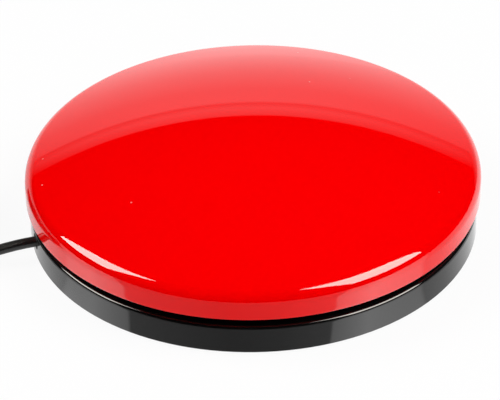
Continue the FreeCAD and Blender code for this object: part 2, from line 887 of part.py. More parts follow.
def make_bottom_plate():
    body = new_body("bottom_body")
    disc = circle(new_sketch(body, "bottom_disc", level="base_bottom"), "ledge_radius - plate_clearance")
    pad(body, "bottom_disc_pad", disc, "plate_thickness")
    hole = "insert_boss_radius + hole_clearance"
    insert = "insert_circle", "stop_azimuth", 3
    drill_round(body, "insert_gap", hole, *insert, "plate_top", "plate_thickness")
    foot = "foot_circle", "foot_azimuth", 4
    recess = "foot_radius + hole_clearance"
    drill_round(body, "foot_nest", recess, *foot, "base_bottom + foot_recess", "foot_recess")
    sinks = []
    for letter, x, y in spots("base_screw_circle", "base_screw_azimuth", 6):
        head = "sunk_head_radius", "screw_radius", "sunk_head_height"
        sinks.append(cone("sink_cone_" + letter, *head, x, y, "base_bottom"))
        sinks.append(cylinder("sink_hole_" + letter, "screw_hole", "plate_thickness", x, y, "base_bottom"))
    node(cut("bottom_drilled", body, fuse("sinks", *sinks)), "bottom_plate")


def make_base_screws():
    screws = []
    for letter, x, y in spots("base_screw_circle", "base_screw_azimuth", 6):
        name = "base_screw_" + letter
        length = "sunk_head_height + base_screw_length"
        shank = cylinder(name + "_shank", "screw_radius", length, x, y, "base_bottom")
        taper = "sunk_head_radius", "screw_radius", "sunk_head_height"
        head = cone(name + "_head", *taper, x, y, "base_bottom")
        solid = fuse(name + "_solid", shank, head)
        screws.append(cut(name, solid, socket(name + "_socket", x, y, "base_bottom")))
    doc.recompute()
    node(feature("base_screw_set", Part.makeCompound([one.Shape for one in screws])), "base_screws")


def make_rubber_foot(letter, x, y):
    name = "rubber_foot_" + letter
    disc = cylinder(name + "_disc", "foot_radius", "foot_proud + foot_recess", x, y)
    node(rounded(name + "_soft", disc, v.foot_round, is_ring, v.foot_radius, 0), name)


def make_mount_insert(letter, x, y):
    name = "mount_insert_" + letter
    make_ring(name, "insert_radius", "insert_bore", "insert_length", x, y, "base_bottom")


# The snap-action switch, upright in the deck's opening


def make_switch_case():
    inner_length = "case_length - 2 * case_wall"
    inner_width = "case_width - 2 * case_wall"
    inner_height = "case_height - 2 * case_wall"
    block = box("case_block", "case_length", "case_width - case_wall", "case_height",
                "case_left", "room_front", "case_bottom")
    room = box("case_room", inner_length, inner_width, inner_height,
               "case_left + case_wall", "room_front", "case_bottom + case_wall")
    pillars = [
        crosswise("case_pillar_" + letter, "fixing_hole + pillar_wall", inner_width, x, "room_front",
                  "fixing_level")
        for letter, x in fixing_places()
    ]
    ear_width = "lever_width + 2 * (ear_clearance + ear_thickness)"
    gap_width = "lever_width + 2 * ear_clearance"
    ear_block = box("ear_block", "ear_length", ear_width, "ear_height",
                    "-lever_arm - ear_length / 2", "-(%s) / 2" % ear_width, "case_top")
    ear_gap = box("ear_gap", "ear_length", gap_width, "ear_height",
                  "-lever_arm - ear_length / 2", "-(%s) / 2" % gap_width, "case_top")
    ear_hole = crosswise("ear_hole", "pivot_radius + contact_gap", ear_width,
                         "-lever_arm", "-(%s) / 2" % ear_width, "pivot_level")
    ears = cut("ears", ear_block, fuse("ear_tools", ear_gap, ear_hole))
    holes = [
        crosswise("case_hole_" + letter, "fixing_hole", "case_width", x, "room_front", "fixing_level")
        for letter, x in fixing_places()
    ]
    holes.append(cylinder("plunger_hole", "plunger_radius + contact_gap", "case_wall",
                          "plunger_place", "0", "case_top - case_wall"))
    for place in ("com_place", "make_place"):
        slot_size = "lug_width + 2 * fit_gap", "lug_thickness + 2 * fit_gap", "case_wall"
        left = place + " - lug_width / 2 - fit_gap"
        holes.append(box(place + "_slot", *slot_size, left, "-lug_thickness / 2 - fit_gap", "case_bottom"))
    whole = fuse("case_whole", cut("case_open", block, room), ears, *pillars)
    node(cut("case_done", whole, fuse("case_holes", *holes)), "switch_case")


def make_switch_cover():
    sheet = box("cover_sheet", "case_length", "case_wall", "case_height",
                "case_left", "case_front", "case_bottom")
    holes = [
        crosswise("cover_hole_" + letter, "fixing_hole", "case_wall", x, "case_front", "fixing_level")
        for letter, x in fixing_places()
    ]
    node(cut("cover_done", sheet, fuse("cover_holes", *holes)), "switch_cover")


def make_switch_plunger():
    rod = cylinder("plunger_rod", "plunger_radius", "plunger_ball - plunger_bottom",
                   "plunger_place", "0", "plunger_bottom")
    ball = sphere("plunger_end", "plunger_radius", "plunger_place", "0", "plunger_ball")
    collar = cylinder("plunger_stop", "plunger_radius + plunger_collar", "case_wall",
                      "plunger_place", "0", "case_top - 2 * case_wall - contact_gap")
    node(fuse("plunger_whole", rod, ball, collar), "switch_plunger")


def make_switch_lever():
    """A strip that leans up from its pivot over the plunger to the pusher."""
    strip = box("lever_strip", "lever_length", "lever_width", "lever_thickness",
                "lever_thickness / 2 * sin(lever_angle) - lever_arm", "-lever_width / 2",
                "pivot_level - lever_thickness / 2 * cos(lever_angle)")
    aimed(strip, FreeCAD.Rotation(AHEAD, -v.lever_angle))
    pin_width = "(lever_width + 2 * ear_clearance + ear_thickness)"
    pin_front = "-%s / 2" % pin_width
    pin = crosswise("lever_pin", "pivot_radius", pin_width, "-lever_arm", pin_front, "pivot_level")
    node(fuse("lever_whole", strip, pin), "switch_lever")


def make_snap_blade():
    strip = box("blade_strip", "make_place - com_place + contact_radius + blade_end", "blade_width",
                "blade_thickness", "com_place", "-blade_width / 2", "blade_level - blade_thickness / 2")
    contact = cylinder("blade_contact", "contact_radius", "contact_height",
                       "make_place", "0", "blade_level - blade_thickness / 2 - contact_height")
    front = "-blade_width / 2"
    roll = crosswise("blade_roll", "roll_radius", "blade_width", "com_place", front, "blade_level")
    node(fuse("blade_whole", strip, contact, roll), "snap_blade")


def make_terminal(name, place, post_top, top_piece):
    """A flat lug through the case's floor, with a narrower post up to its contact."""
    front = "-lug_thickness / 2"
    lug = box(name + "_lug", "lug_width", "lug_thickness", "lug_length + case_wall",
              place + " - lug_width / 2", front, "lug_bottom")
    post = box(name + "_post", "post_width", "lug_thickness", post_top + " - case_bottom",
               place + " - post_width / 2", front, "case_bottom")
    eye = crosswise(name + "_eye", "eye_radius", "lug_thickness", place, front, "eye_level")
    node(cut(name + "_cut", fuse(name + "_solid", lug, post, top_piece), eye), name)


def make_terminals():
    seat = box("com_seat", "seat_length", "blade_width", "seat_thickness",
               "com_place - seat_length / 2", "-blade_width / 2", "com_top - seat_thickness")
    make_terminal("common_terminal", "com_place", "com_top", seat)
    contact = cylinder("fixed_contact", "contact_radius", "contact_height",
                       "make_place", "0", "make_top - contact_height")
    make_terminal("make_terminal", "make_place", "make_top", contact)


def make_switch_screw(letter, x):
    name = "switch_screw_" + letter
    head_front = "case_front - fixing_head_height"
    length = "case_width + rib_thickness - hole_clearance"
    shank = crosswise(name + "_shank", "fixing_radius", length, x, "case_front", "fixing_level")
    head = crosswise(name + "_head", "fixing_head", "fixing_head_height", x, head_front, "fixing_level")
    slot = box(name + "_slot", "2 * fixing_head", "slot_depth", "slot_width",
               x + " - fixing_head", head_front, "fixing_level - slot_width / 2")
    node(cut(name + "_cut", fuse(name + "_solid", shank, head), slot), name)


# The cord's end inside the base


def make_inner_cable():
    start = "base_radius - inner_cable_length"
    node(outwards("inner_run", "cord_radius", "inner_cable_length", start), "inner_cable")


def make_cable_grommet():
    rim_start = "wall_inside - rim_clearance - grommet_flange"
    rim = outward_box("grommet_rim", "grommet_flange", "grommet_width", "grommet_depth",
                      rim_start, "exit_level + grommet_rise - grommet_depth")
    sleeve_length = "base_wall + grommet_overlap"
    sleeve_start = "wall_inside - grommet_overlap"
    sleeve = outwards("grommet_sleeve", "cord_radius + grommet_wall", sleeve_length, sleeve_start)
    trim = cylinder("grommet_trim", "base_radius", "base_top")
    bore = outwards("grommet_bore", "cord_radius + fit_gap", "base_wall + 2 * grommet_flange", rim_start)
    kept = common("grommet_kept", fuse("grommet_solid", sleeve, rim), trim)
    node(cut("grommet_done", kept, bore), "cable_grommet")


def make_cable_clamp():
    """A saddle under the cord, screwed up against two bosses of the deck."""
    start = "clamp_circle - clamp_length / 2"
    flange = outward_box("clamp_flange", "clamp_length", "clamp_width", "clamp_thickness",
                         start, "exit_level - clamp_thickness")
    hump_depth = "cord_radius + clamp_wall"
    hump = outward_box("clamp_hump", "clamp_length", "2 * (%s)" % hump_depth, hump_depth,
                       start, "exit_level - (%s)" % hump_depth)
    tools = [outwards("clamp_groove", "cord_radius + fit_gap", "clamp_length", start)]
    for letter, side in (("a", ""), ("b", "-")):
        x, y = beside("clamp_circle", side + "clamp_spread")
        under = "exit_level - clamp_thickness"
        hole = "clamp_screw_radius + fixing_clearance"
        tools.append(cylinder("clamp_hole_" + letter, hole, "clamp_thickness", x, y, under))
        make_clamp_screw(letter, x, y, side + "clamp_spread")
    node(cut("clamp_done", fuse("clamp_solid", flange, hump), fuse("clamp_tools", *tools)), "cable_clamp")


def make_clamp_screw(letter, x, y, sideways):
    name = "clamp_screw_" + letter
    head_low = "exit_level - clamp_thickness - clamp_head_height"
    shank = cylinder(name + "_shank", "clamp_screw_radius", "clamp_screw_length + clamp_head_height",
                     x, y, head_low)
    head = cylinder(name + "_head", "clamp_head_radius", "clamp_head_height", x, y, head_low)
    slot = outward_box(name + "_slot", "2 * clamp_head_radius", "slot_width", "slot_depth",
                       "clamp_circle - clamp_head_radius", head_low, sideways)
    node(cut(name + "_cut", fuse(name + "_solid", shank, head), slot), name)


def make_wires():
    """The two conductors, by hand-chosen points, to the eyes of the terminals."""
    cable_end = v.base_radius - v.inner_cable_length
    stub = cable_end - 3.0
    near = v.wire_spacing / 2
    low = v.wire_level
    signal = [
        out_point(cable_end, -near, v.exit_level),
        out_point(stub, -near, v.exit_level),
        V(-32.0, -7.4, low),
        V(-23.0, -6.4, low),
        V(v.com_place - 5.0, -7.4, low),
        V(v.com_place, -4.4, low),
        V(v.com_place, -v.wire_turn, v.eye_level),
        V(v.com_place, v.wire_reach, v.eye_level),
    ]
    back = [
        out_point(cable_end, near, v.exit_level),
        out_point(stub, near, v.exit_level),
        V(-31.5, -10.2, low),
        V(-21.0, -9.8, low),
        V(-10.0, -10.3, low),
        V(v.make_place - 5.5, -9.0, low),
        V(v.make_place, -5.6, low),
        V(v.make_place, -v.wire_turn, v.eye_level),
        V(v.make_place, v.wire_reach, v.eye_level),
    ]
    routed_tube("signal_wire", signal, v.wire_radius)
    routed_tube("return_wire", back, v.wire_radius)


# The cord outside the base: lead, coil with its tie, tail and plug


def winding(phase, width):
    """0 on the outside and 1 on the inside of a layer, eased over width where layers meet."""
    near = min(max(round(phase), 1), 3)
    offset = phase - near
    away = abs(offset)
    if away < width:
        away = (offset**2 / width + width) / 2
    return away if near == 2 else 1 - away


def climbed(phase, width):
    """Layers climbed so far, each in the stretch within width of where two layers meet."""
    near = min(max(round(phase), 1), 3)
    share = min(max((phase - near) / width, -1), 1)
    return near - 1 + (1 + share * (3 - share**2) / 2) / 2


def make_cord():
    lead = walk(out_point(v.base_radius, 0.0, v.exit_level), v.exit_azimuth, lead_steps)
    lead[-2].z = v.coil_level
    lead[-1].z = v.coil_level
    lead_heading = (lead[-1] - lead[-2]).normalize()
    per_layer = v.coil_turns / 4
    ease = 0.25 / per_layer
    slope = math.atan(v.coil_pitch / (2 * math.pi * v.coil_outside))
    start_angle = math.atan2(lead_heading.y, lead_heading.x) + math.pi / 2 + slope
    middle = lead[-1] - V(math.cos(start_angle), math.sin(start_angle), 0) * v.coil_outside
    middle.z = 0

    def on_coil(turn):
        """Clockwise from above, in and out again through four layers."""
        inwards = winding(turn / per_layer, ease)
        radius = v.coil_outside + (v.coil_inside - v.coil_outside) * inwards
        angle = start_angle - 2 * math.pi * turn
        height = v.coil_level + v.coil_pitch * climbed(turn / per_layer, ease)
        return middle + V(radius * math.cos(angle), radius * math.sin(angle), height)

    stub = 2 * v.cord_radius
    last_heading = heading_at(on_coil, v.coil_turns)
    coil_start = lead[-1] - lead_heading * stub
    coil_end = on_coil(v.coil_turns) + last_heading * stub
    edges = [Part.LineSegment(coil_start, lead[-1]).toShape()]
    edges += curve_edges(on_coil, v.coil_turns)
    edges.append(Part.LineSegment(on_coil(v.coil_turns), coil_end).toShape())
    print("coil turns, least gap", round(least_gap(on_coil, v.coil_turns, v.cord_radius), 2))
    node(feature("cable_coil", tube_along(edges, v.cord_radius)), "cable_coil")
    routed_tube("cable_lead", lead[:-1] + [coil_start], v.cord_radius)

    tail_heading = math.degrees(math.atan2(last_heading.y, last_heading.x))
    tail = walk(coil_end, tail_heading, tail_steps)
    tail[-2].z = v.grip_radius
    tail[-1].z = v.grip_radius
    routed_tube("cable_tail", tail, v.cord_radius)
    print("coil middle", middle, "cord length", round(sum(edge.Length for edge in edges), 1))
    print("plug at", tail[-1], "heading", round(tail_heading + tail_steps[-1][1], 3))
    make_coil_tie(middle)
    make_plug(FreeCAD.Placement(tail[-1], FreeCAD.Rotation(UP, tail_heading + tail_steps[-1][1])))


def make_coil_tie(middle):
    """A flat strap round the bundle of turns."""
    inner_turn = "(coil_inside - cord_radius)"
    inside = "sqrt(%s ^ 2 - (tie_width / 2) ^ 2) - tie_clearance" % inner_turn
    room_length = "coil_outside + cord_radius + tie_clearance - (%s)" % inside
    room_height = "coil_top_level + cord_radius + tie_clearance - tie_thickness"
    strap = box("tie_block", "%s + 2 * tie_thickness" % room_length, "tie_width",
                "%s + 2 * tie_thickness" % room_height, "%s - tie_thickness" % inside, "-tie_width / 2")
    room = box("tie_room", room_length, "tie_width", room_height, inside, "-tie_width / 2", "tie_thickness")
    outside = rounded("tie_outside", strap, v.tie_bend, is_crosswise)
    hollow = rounded("tie_hollow", room, v.tie_inner_bend, is_crosswise)
    tie = node(cut("tie", outside, hollow), "coil_tie")
    tie.Placement = FreeCAD.Placement(middle, FreeCAD.Rotation(UP, v.tie_azimuth))


def turned_body(label, outline, place):
    body = new_body(label + "_body")
    sketch = new_sketch(body, label + "_outline")
    revolve(body, label + "_turned", polygon(sketch, outline), "H_Axis")
    body.Placement = place
    node(body, label)


def make_plug(place):
    """Outlines run along the plug's axis, from the cord to the tip."""
    grip_end = "boot_length + grip_length"
    sleeve_end = grip_end + " + sleeve_length"
    insulator_end = sleeve_end + " + insulator_length"
    rim_end = grip_end + " + sleeve_rim"
    rim = "sleeve_radius + sleeve_rim"
    grip = [
        ("0", "0"),
        ("0", "boot_radius"),
        ("boot_length * 0.7", "boot_radius * 1.2"),
        ("boot_length", "grip_radius * 0.82"),
        ("boot_length * 1.12", "grip_radius"),
        (grip_end + " - 1.6", "grip_radius"),
        (grip_end, "grip_radius * 0.8"),
        (grip_end, "0"),
    ]
    sleeve = [
        (grip_end, "0"),
        (grip_end, rim),
        (rim_end, rim),
        (rim_end, "sleeve_radius"),
        (sleeve_end, "sleeve_radius"),
        (sleeve_end, "0"),
    ]
    insulator = [
        (sleeve_end, "0"),
        (sleeve_end, "sleeve_radius"),
        (insulator_end, "sleeve_radius"),
        (insulator_end, "0"),
    ]
    tip = [
        (insulator_end, "0"),
        (insulator_end, "sleeve_radius"),
        (insulator_end + " + tip_length * 0.25", "sleeve_radius"),
        (insulator_end + " + tip_length * 0.4", "tip_neck"),
        (insulator_end + " + tip_length * 0.6", "sleeve_radius * 0.92"),
        (insulator_end + " + tip_length", "tip_end"),
        (insulator_end + " + tip_length", "0"),
    ]
    turned_body("plug_grip", grip, place)
    turned_body("plug_sleeve", sleeve, place)
    turned_body("plug_insulator", insulator, place)
    turned_body("plug_tip", tip, place)


def check_and_write():
    doc.recompute()
    for thing in doc.Objects:
        if "Invalid" in thing.State or "Error" in thing.State:
            raise RuntimeError("failed object: " + thing.Name)
    for thing in nodes:
        shape = thing.Shape
        if shape.isNull() or not shape.isValid() or not shape.Solids:
            raise RuntimeError("bad shape: " + thing.Label)
    for thing in nodes:
        thing.Shape.exportStep("parts/%s.step" % thing.Label)
        print(thing.Label, len(thing.Shape.Solids), round(thing.Shape.Volume, 1))


os.makedirs("parts", exist_ok=True)
make_button_cap()
make_carrier_plate()
make_base_shell()
for spot in spots("cap_screw_circle", "stop_azimuth", 3):
    make_cap_screw(*spot)
for spot in spots("guide_circle", "guide_azimuth", 3):
    make_guide_bush(*spot)
    make_post_end(*spot)
for spot in spots("guide_circle", "stop_azimuth", 3):
    make_stop_bumper(*spot)
make_springs()
make_bottom_plate()
make_base_screws()
for spot in spots("foot_circle", "foot_azimuth", 4):
    make_rubber_foot(*spot)
for spot in spots("insert_circle", "stop_azimuth", 3):
    make_mount_insert(*spot)
make_switch_case()
make_switch_cover()
make_switch_plunger()
make_switch_lever()
make_snap_blade()
make_terminals()
for letter, x in fixing_places():
    make_switch_screw(letter, x)
make_inner_cable()
make_cable_grommet()
make_cable_clamp()
make_wires()
make_cord()
print("pivot level", v.pivot_level, "blade level", v.blade_level, "blade pivot", v.com_place)
check_and_write()
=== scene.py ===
import json
import math

import bmesh
import bpy
from mathutils import Euler, Matrix, Vector


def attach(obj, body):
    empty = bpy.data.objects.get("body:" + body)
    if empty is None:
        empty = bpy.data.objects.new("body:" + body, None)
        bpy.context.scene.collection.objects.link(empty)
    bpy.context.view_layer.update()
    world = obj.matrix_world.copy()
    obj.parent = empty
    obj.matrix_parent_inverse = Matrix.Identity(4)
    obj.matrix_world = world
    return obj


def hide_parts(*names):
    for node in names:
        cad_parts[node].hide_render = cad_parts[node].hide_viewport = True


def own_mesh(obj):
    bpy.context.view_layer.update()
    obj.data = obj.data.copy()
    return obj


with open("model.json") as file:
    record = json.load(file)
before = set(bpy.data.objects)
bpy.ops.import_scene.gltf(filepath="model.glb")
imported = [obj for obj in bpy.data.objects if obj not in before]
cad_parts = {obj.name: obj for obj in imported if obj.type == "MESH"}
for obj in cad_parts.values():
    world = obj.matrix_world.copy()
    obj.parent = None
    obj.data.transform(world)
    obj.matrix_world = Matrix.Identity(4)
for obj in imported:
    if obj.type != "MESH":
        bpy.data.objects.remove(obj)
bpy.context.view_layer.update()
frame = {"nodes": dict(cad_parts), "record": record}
print("frame loaded, nodes:", len(frame["nodes"]))

# Sizes are in millimetres and angles in degrees, except where a note says otherwise
mm = 0.001

meshing = {
    "onAxis": 1e-6,  # a ring smaller than this is a single point
    "weld": 1e-7,  # in metres: joins the two ends of a section that closes on itself
    "sharpAngle": 40,
}


# Small helpers


# An sRGB hex colour as linear red, green, blue and alpha
def linear(hexColour):
    parts = [int(hexColour[k:k + 2], 16) / 255 for k in (1, 3, 5)]
    return [c / 12.92 if c <= 0.04045 else ((c + 0.055) / 1.055) ** 2.4 for c in parts] + [1.0]


# A node with its settings, the grey stops of its ramp if it has one, and what is plugged into it
def add(tree, kind, settings, links=None):
    node = tree.nodes.new(kind)
    for key, value in settings.items():
        if key == "stops":
            while len(node.color_ramp.elements) < len(value):
                node.color_ramp.elements.new(1.0)
            for stop, (position, level) in zip(node.color_ramp.elements, value):
                stop.position = position
                stop.color = (level, level, level, 1)
        elif isinstance(key, int) or key in node.inputs:
            node.inputs[key].default_value = value
        else:
            setattr(node, key, value)
    for key, socket in (links or {}).items():
        tree.links.new(socket, node.inputs[key])
    return node


def newMaterial(name):
    material = bpy.data.materials.new(name)
    material.use_nodes = True
    material.node_tree.nodes.clear()
    return material, material.node_tree


def newPiece(name, mesh, material):
    piece = bpy.data.objects.new(name, mesh)
    bpy.context.scene.collection.objects.link(piece)
    piece.data.materials.append(material)
    return piece


# A piece from built faces, smooth but for its real edges
def smoothPiece(name, shape, material):
    bmesh.ops.recalc_face_normals(shape, faces=shape.faces)
    mesh = bpy.data.meshes.new(name)
    shape.to_mesh(mesh)
    shape.free()
    mesh.shade_smooth()
    mesh.set_sharp_from_angle(angle=math.radians(meshing["sharpAngle"]))
    return newPiece(name, mesh, material)


# Camera, fitted to the outlines of the cap and the base

view = {
    "distance": 1.0,  # in metres
    "elevation": 34.715,
    "target": (-0.952 * mm, 3.26 * mm, 4.706 * mm),
    "roll": -1.019,
    "lens": 256.28,
    "nearest": 0.05,  # in metres, as is the farthest
    "farthest": 50,
}

elevation = math.radians(view["elevation"])
cameraData = bpy.data.cameras.new("camera")
cameraData.lens = view["lens"]
cameraData.clip_start = view["nearest"]
cameraData.clip_end = view["farthest"]
camera = bpy.data.objects.new("camera", cameraData)
bpy.context.scene.collection.objects.link(camera)
camera.location = Vector((0, -math.cos(elevation), math.sin(elevation))) * view["distance"]
looking = (Vector(view["target"]) - camera.location).to_track_quat("-Z", "Y")
camera.rotation_mode = "QUATERNION"
camera.rotation_quaternion = looking @ Euler((0, 0, math.radians(view["roll"]))).to_quaternion()
bpy.context.scene.camera = camera
bpy.context.scene.view_settings.view_transform = "Standard"
print("camera ready")


# Materials

gloss = {
    "scuffRange": (0.35, 0.8),  # where in the noise a scuffed patch starts and is full
    "speckEdge": 0.5,  # a speck of dust is full inside this share of its radius
    "speckStrength": 0.55,
}


# Injection-moulded ABS from a polished mould: a hard clear gloss over even colour
def glossyAbs(name, look):
    material, tree = newMaterial(name)
    place = add(tree, "ShaderNodeTexCoord", {}).outputs["Object"]
    # Mould flow leaves the colour very slightly uneven over centimetres
    flow = add(
        tree,
        "ShaderNodeTexNoise",
        {"Scale": 1 / (look["flowMm"] * mm), "Detail": 3.0},
        {"Vector": place},
    )
    colour = add(
        tree,
        "ShaderNodeMix",
        {"data_type": "RGBA", 6: linear(look["colour"]), 7: linear(look["flowColour"])},
        {0: flow.outputs["Fac"]},
    )
    # Handling leaves patches of hairlines far too fine to draw, which only show in the roughness
    scuff = add(
        tree,
        "ShaderNodeTexNoise",
        {"Scale": 1 / (look["scuffMm"] * mm), "Detail": 6.0},
        {"Vector": place},
    )
    faint, full = gloss["scuffRange"]
    rough = add(
        tree,
        "ShaderNodeMapRange",
        {"From Min": faint, "From Max": full, "To Min": look["roughness"], "To Max": look["scuffRoughness"]},
        {"Value": scuff.outputs["Fac"]},
    )
    # Shrinkage bends the reflections a little, over millimetres
    peel = add(
        tree,
        "ShaderNodeTexNoise",
        {"Scale": 1 / (look["peelMm"] * mm), "Detail": 2.0},
        {"Vector": place},
    )
    bump = add(
        tree,
        "ShaderNodeBump",
        {"Strength": look["peelStrength"], "Distance": look["peelDepthMm"] * mm},
        {"Height": peel.outputs["Fac"]},
    )
    tint = colour.outputs[2]
    if "dustMm" in look:
        # A few specks of dust, each on its own cell of a coarse pattern
        cell = add(
            tree,
            "ShaderNodeTexVoronoi",
            {"Scale": 1 / (look["dustSpacingMm"] * mm), "Randomness": 1.0},
            {"Vector": place},
        )
        reach = look["dustMm"] / look["dustSpacingMm"]
        speck = add(
            tree,
            "ShaderNodeMapRange",
            {
                "From Min": reach,
                "From Max": reach * gloss["speckEdge"],
                "To Min": 0.0,
                "To Max": gloss["speckStrength"],
            },
            {"Value": cell.outputs["Distance"]},
        )
        tint = add(
            tree,
            "ShaderNodeMix",
            {"data_type": "RGBA", 7: linear(look["dustColour"])},
            {0: speck.outputs[0], 6: tint},
        ).outputs[2]
    shader = add(
        tree,
        "ShaderNodeBsdfPrincipled",
        {"IOR": look["ior"]},
        {"Base Color": tint, "Roughness": rough.outputs[0], "Normal": bump.outputs[0]},
    )
    add(tree, "ShaderNodeOutputMaterial", {}, {"Surface": shader.outputs[0]})
    return material


grain = {"roughnessSpread": 0.06, "strength": 0.6}


# A polymer with a fine grain: spark-eroded mould texture, rubber or cable jacket
def grainedPolymer(name, look):
    material, tree = newMaterial(name)
    place = add(tree, "ShaderNodeTexCoord", {}).outputs["Object"]
    bumps = add(
        tree,
        "ShaderNodeTexNoise",
        {"Scale": 1 / (look["grainMm"] * mm), "Detail": 4.0},
        {"Vector": place},
    )
    blotch = add(
        tree,
        "ShaderNodeTexNoise",
        {"Scale": 1 / (look["blotchMm"] * mm), "Detail": 2.0},
        {"Vector": place},
    )
    colour = add(
        tree,
        "ShaderNodeMix",
        {"data_type": "RGBA", 6: linear(look["colour"]), 7: linear(look["paleColour"])},
        {0: blotch.outputs["Fac"]},
    )
    spread = grain["roughnessSpread"]
    rough = add(
        tree,
        "ShaderNodeMapRange",
        {"To Min": look["roughness"] - spread, "To Max": look["roughness"] + spread},
        {"Value": bumps.outputs["Fac"]},
    )
    bump = add(
        tree,
        "ShaderNodeBump",
        {"Strength": grain["strength"], "Distance": look["grainDepthMm"] * mm},
        {"Height": bumps.outputs["Fac"]},
    )
    shader = add(
        tree,
        "ShaderNodeBsdfPrincipled",
        {"IOR": look["ior"]},
        {"Base Color": colour.outputs[2], "Roughness": rough.outputs[0], "Normal": bump.outputs[0]},
    )
    add(tree, "ShaderNodeOutputMaterial", {}, {"Surface": shader.outputs[0]})
    return material


toolMarks = {"roughnessSpread": 0.08, "strength": 0.3, "depthMm": 0.01, "tarnishMm": 4}


# A metal with the fine marks of turning, drawing or rolling
def workedMetal(name, look):
    material, tree = newMaterial(name)
    place = add(tree, "ShaderNodeTexCoord", {}).outputs["Object"]
    squeezed = add(tree, "ShaderNodeMapping", {"Scale": look["marks"]}, {"Vector": place})
    marks = add(
        tree,
        "ShaderNodeTexNoise",
        {"Scale": 1 / (look["markMm"] * mm), "Detail": 3.0},
        {"Vector": squeezed.outputs[0]},
    )
    # Handled metal dulls in soft patches
    tarnish = add(
        tree,
        "ShaderNodeTexNoise",
        {"Scale": 1 / (toolMarks["tarnishMm"] * mm), "Detail": 3.0},
        {"Vector": place},
    )
    colour = add(
        tree,
        "ShaderNodeMix",
        {"data_type": "RGBA", 6: linear(look["colour"]), 7: linear(look["dullColour"])},
        {0: tarnish.outputs["Fac"]},
    )
    spread = toolMarks["roughnessSpread"]
    rough = add(
        tree,
        "ShaderNodeMapRange",
        {"To Min": look["roughness"] - spread, "To Max": look["roughness"] + spread},
        {"Value": marks.outputs["Fac"]},
    )
    bump = add(
        tree,
        "ShaderNodeBump",
        {"Strength": toolMarks["strength"], "Distance": toolMarks["depthMm"] * mm},
        {"Height": marks.outputs["Fac"]},
    )
    shader = add(
        tree,
        "ShaderNodeBsdfPrincipled",
        {"Metallic": 1.0},
        {"Base Color": colour.outputs[2], "Roughness": rough.outputs[0], "Normal": bump.outputs[0]},
    )
    add(tree, "ShaderNodeOutputMaterial", {}, {"Surface": shader.outputs[0]})
    return material


# Hook-and-loop strap of woven nylon: crossed yarns whose soft fuzz scatters the light
def wovenNylon(name, look):
    material, tree = newMaterial(name)
    flat = add(tree, "ShaderNodeTexCoord", {}).outputs["UV"]
    axes = add(tree, "ShaderNodeSeparateXYZ", {}, {0: flat})
    yarns = []
    for side in ("X", "Y"):
        phase = add(
            tree,
            "ShaderNodeMath",
            {"operation": "MULTIPLY", 1: 2 * math.pi / (look["yarnMm"] * mm)},
            {0: axes.outputs[side]},
        )
        yarns.append(add(tree, "ShaderNodeMath", {"operation": "SINE"}, {0: phase.outputs[0]}))
    weave = add(
        tree,
        "ShaderNodeMath",
        {"operation": "MULTIPLY"},
        {0: yarns[0].outputs[0], 1: yarns[1].outputs[0]},
    )
    place = add(tree, "ShaderNodeTexCoord", {}).outputs["Object"]
    fuzz = add(
        tree,
        "ShaderNodeTexNoise",
        {"Scale": 1 / (look["fuzzMm"] * mm), "Detail": 4.0},
        {"Vector": place},
    )
    height = add(
        tree,
        "ShaderNodeMath",
        {"operation": "MULTIPLY_ADD", 1: look["weaveShare"]},
        {0: weave.outputs[0], 2: fuzz.outputs["Fac"]},
    )
    colour = add(
        tree,
        "ShaderNodeMix",
        {"data_type": "RGBA", 6: linear(look["colour"]), 7: linear(look["paleColour"])},
        {0: height.outputs[0]},
    )
    bump = add(
        tree,
        "ShaderNodeBump",
        {"Strength": look["strength"], "Distance": look["yarnDepthMm"] * mm},
        {"Height": height.outputs[0]},
    )
    shader = add(
        tree,
        "ShaderNodeBsdfPrincipled",
        {
            "IOR": look["ior"],
            "Roughness": look["roughness"],
            "Sheen Weight": look["sheen"],
            "Sheen Roughness": look["sheenRoughness"],
        },
        {"Base Color": colour.outputs[2], "Normal": bump.outputs[0]},
    )
    add(tree, "ShaderNodeOutputMaterial", {}, {"Surface": shader.outputs[0]})
    return material


# The cap's ABS, from a mirror-polished mould: it shows the room almost as sharply as glass does,
# over one even signal red
polishedRedAbs = glossyAbs("polishedRedAbs", {
    "colour": "#fc0000",
    "flowColour": "#f80003",
    "flowMm": 30,
    "roughness": 0.012,
    "scuffRoughness": 0.04,
    "scuffMm": 6,
    "peelMm": 9,
    "peelStrength": 0.03,
    "peelDepthMm": 0.01,
    "ior": 1.53,
    "dustMm": 0.3,
    "dustSpacingMm": 9.5,
    "dustColour": "#ffd0c8",
})
# The base's ABS, polished a little less: its reflections are soft at their edges, over a black
# that goes pale only where the wall turns away
polishedBlackAbs = glossyAbs("polishedBlackAbs", {
    "colour": "#0b0b0b",
    "flowColour": "#101010",
    "flowMm": 25,
    "roughness": 0.05,
    "scuffRoughness": 0.08,
    "scuffMm": 3,
    "peelMm": 4,
    "peelStrength": 0.08,
    "peelDepthMm": 0.02,
    "ior": 1.53,
})
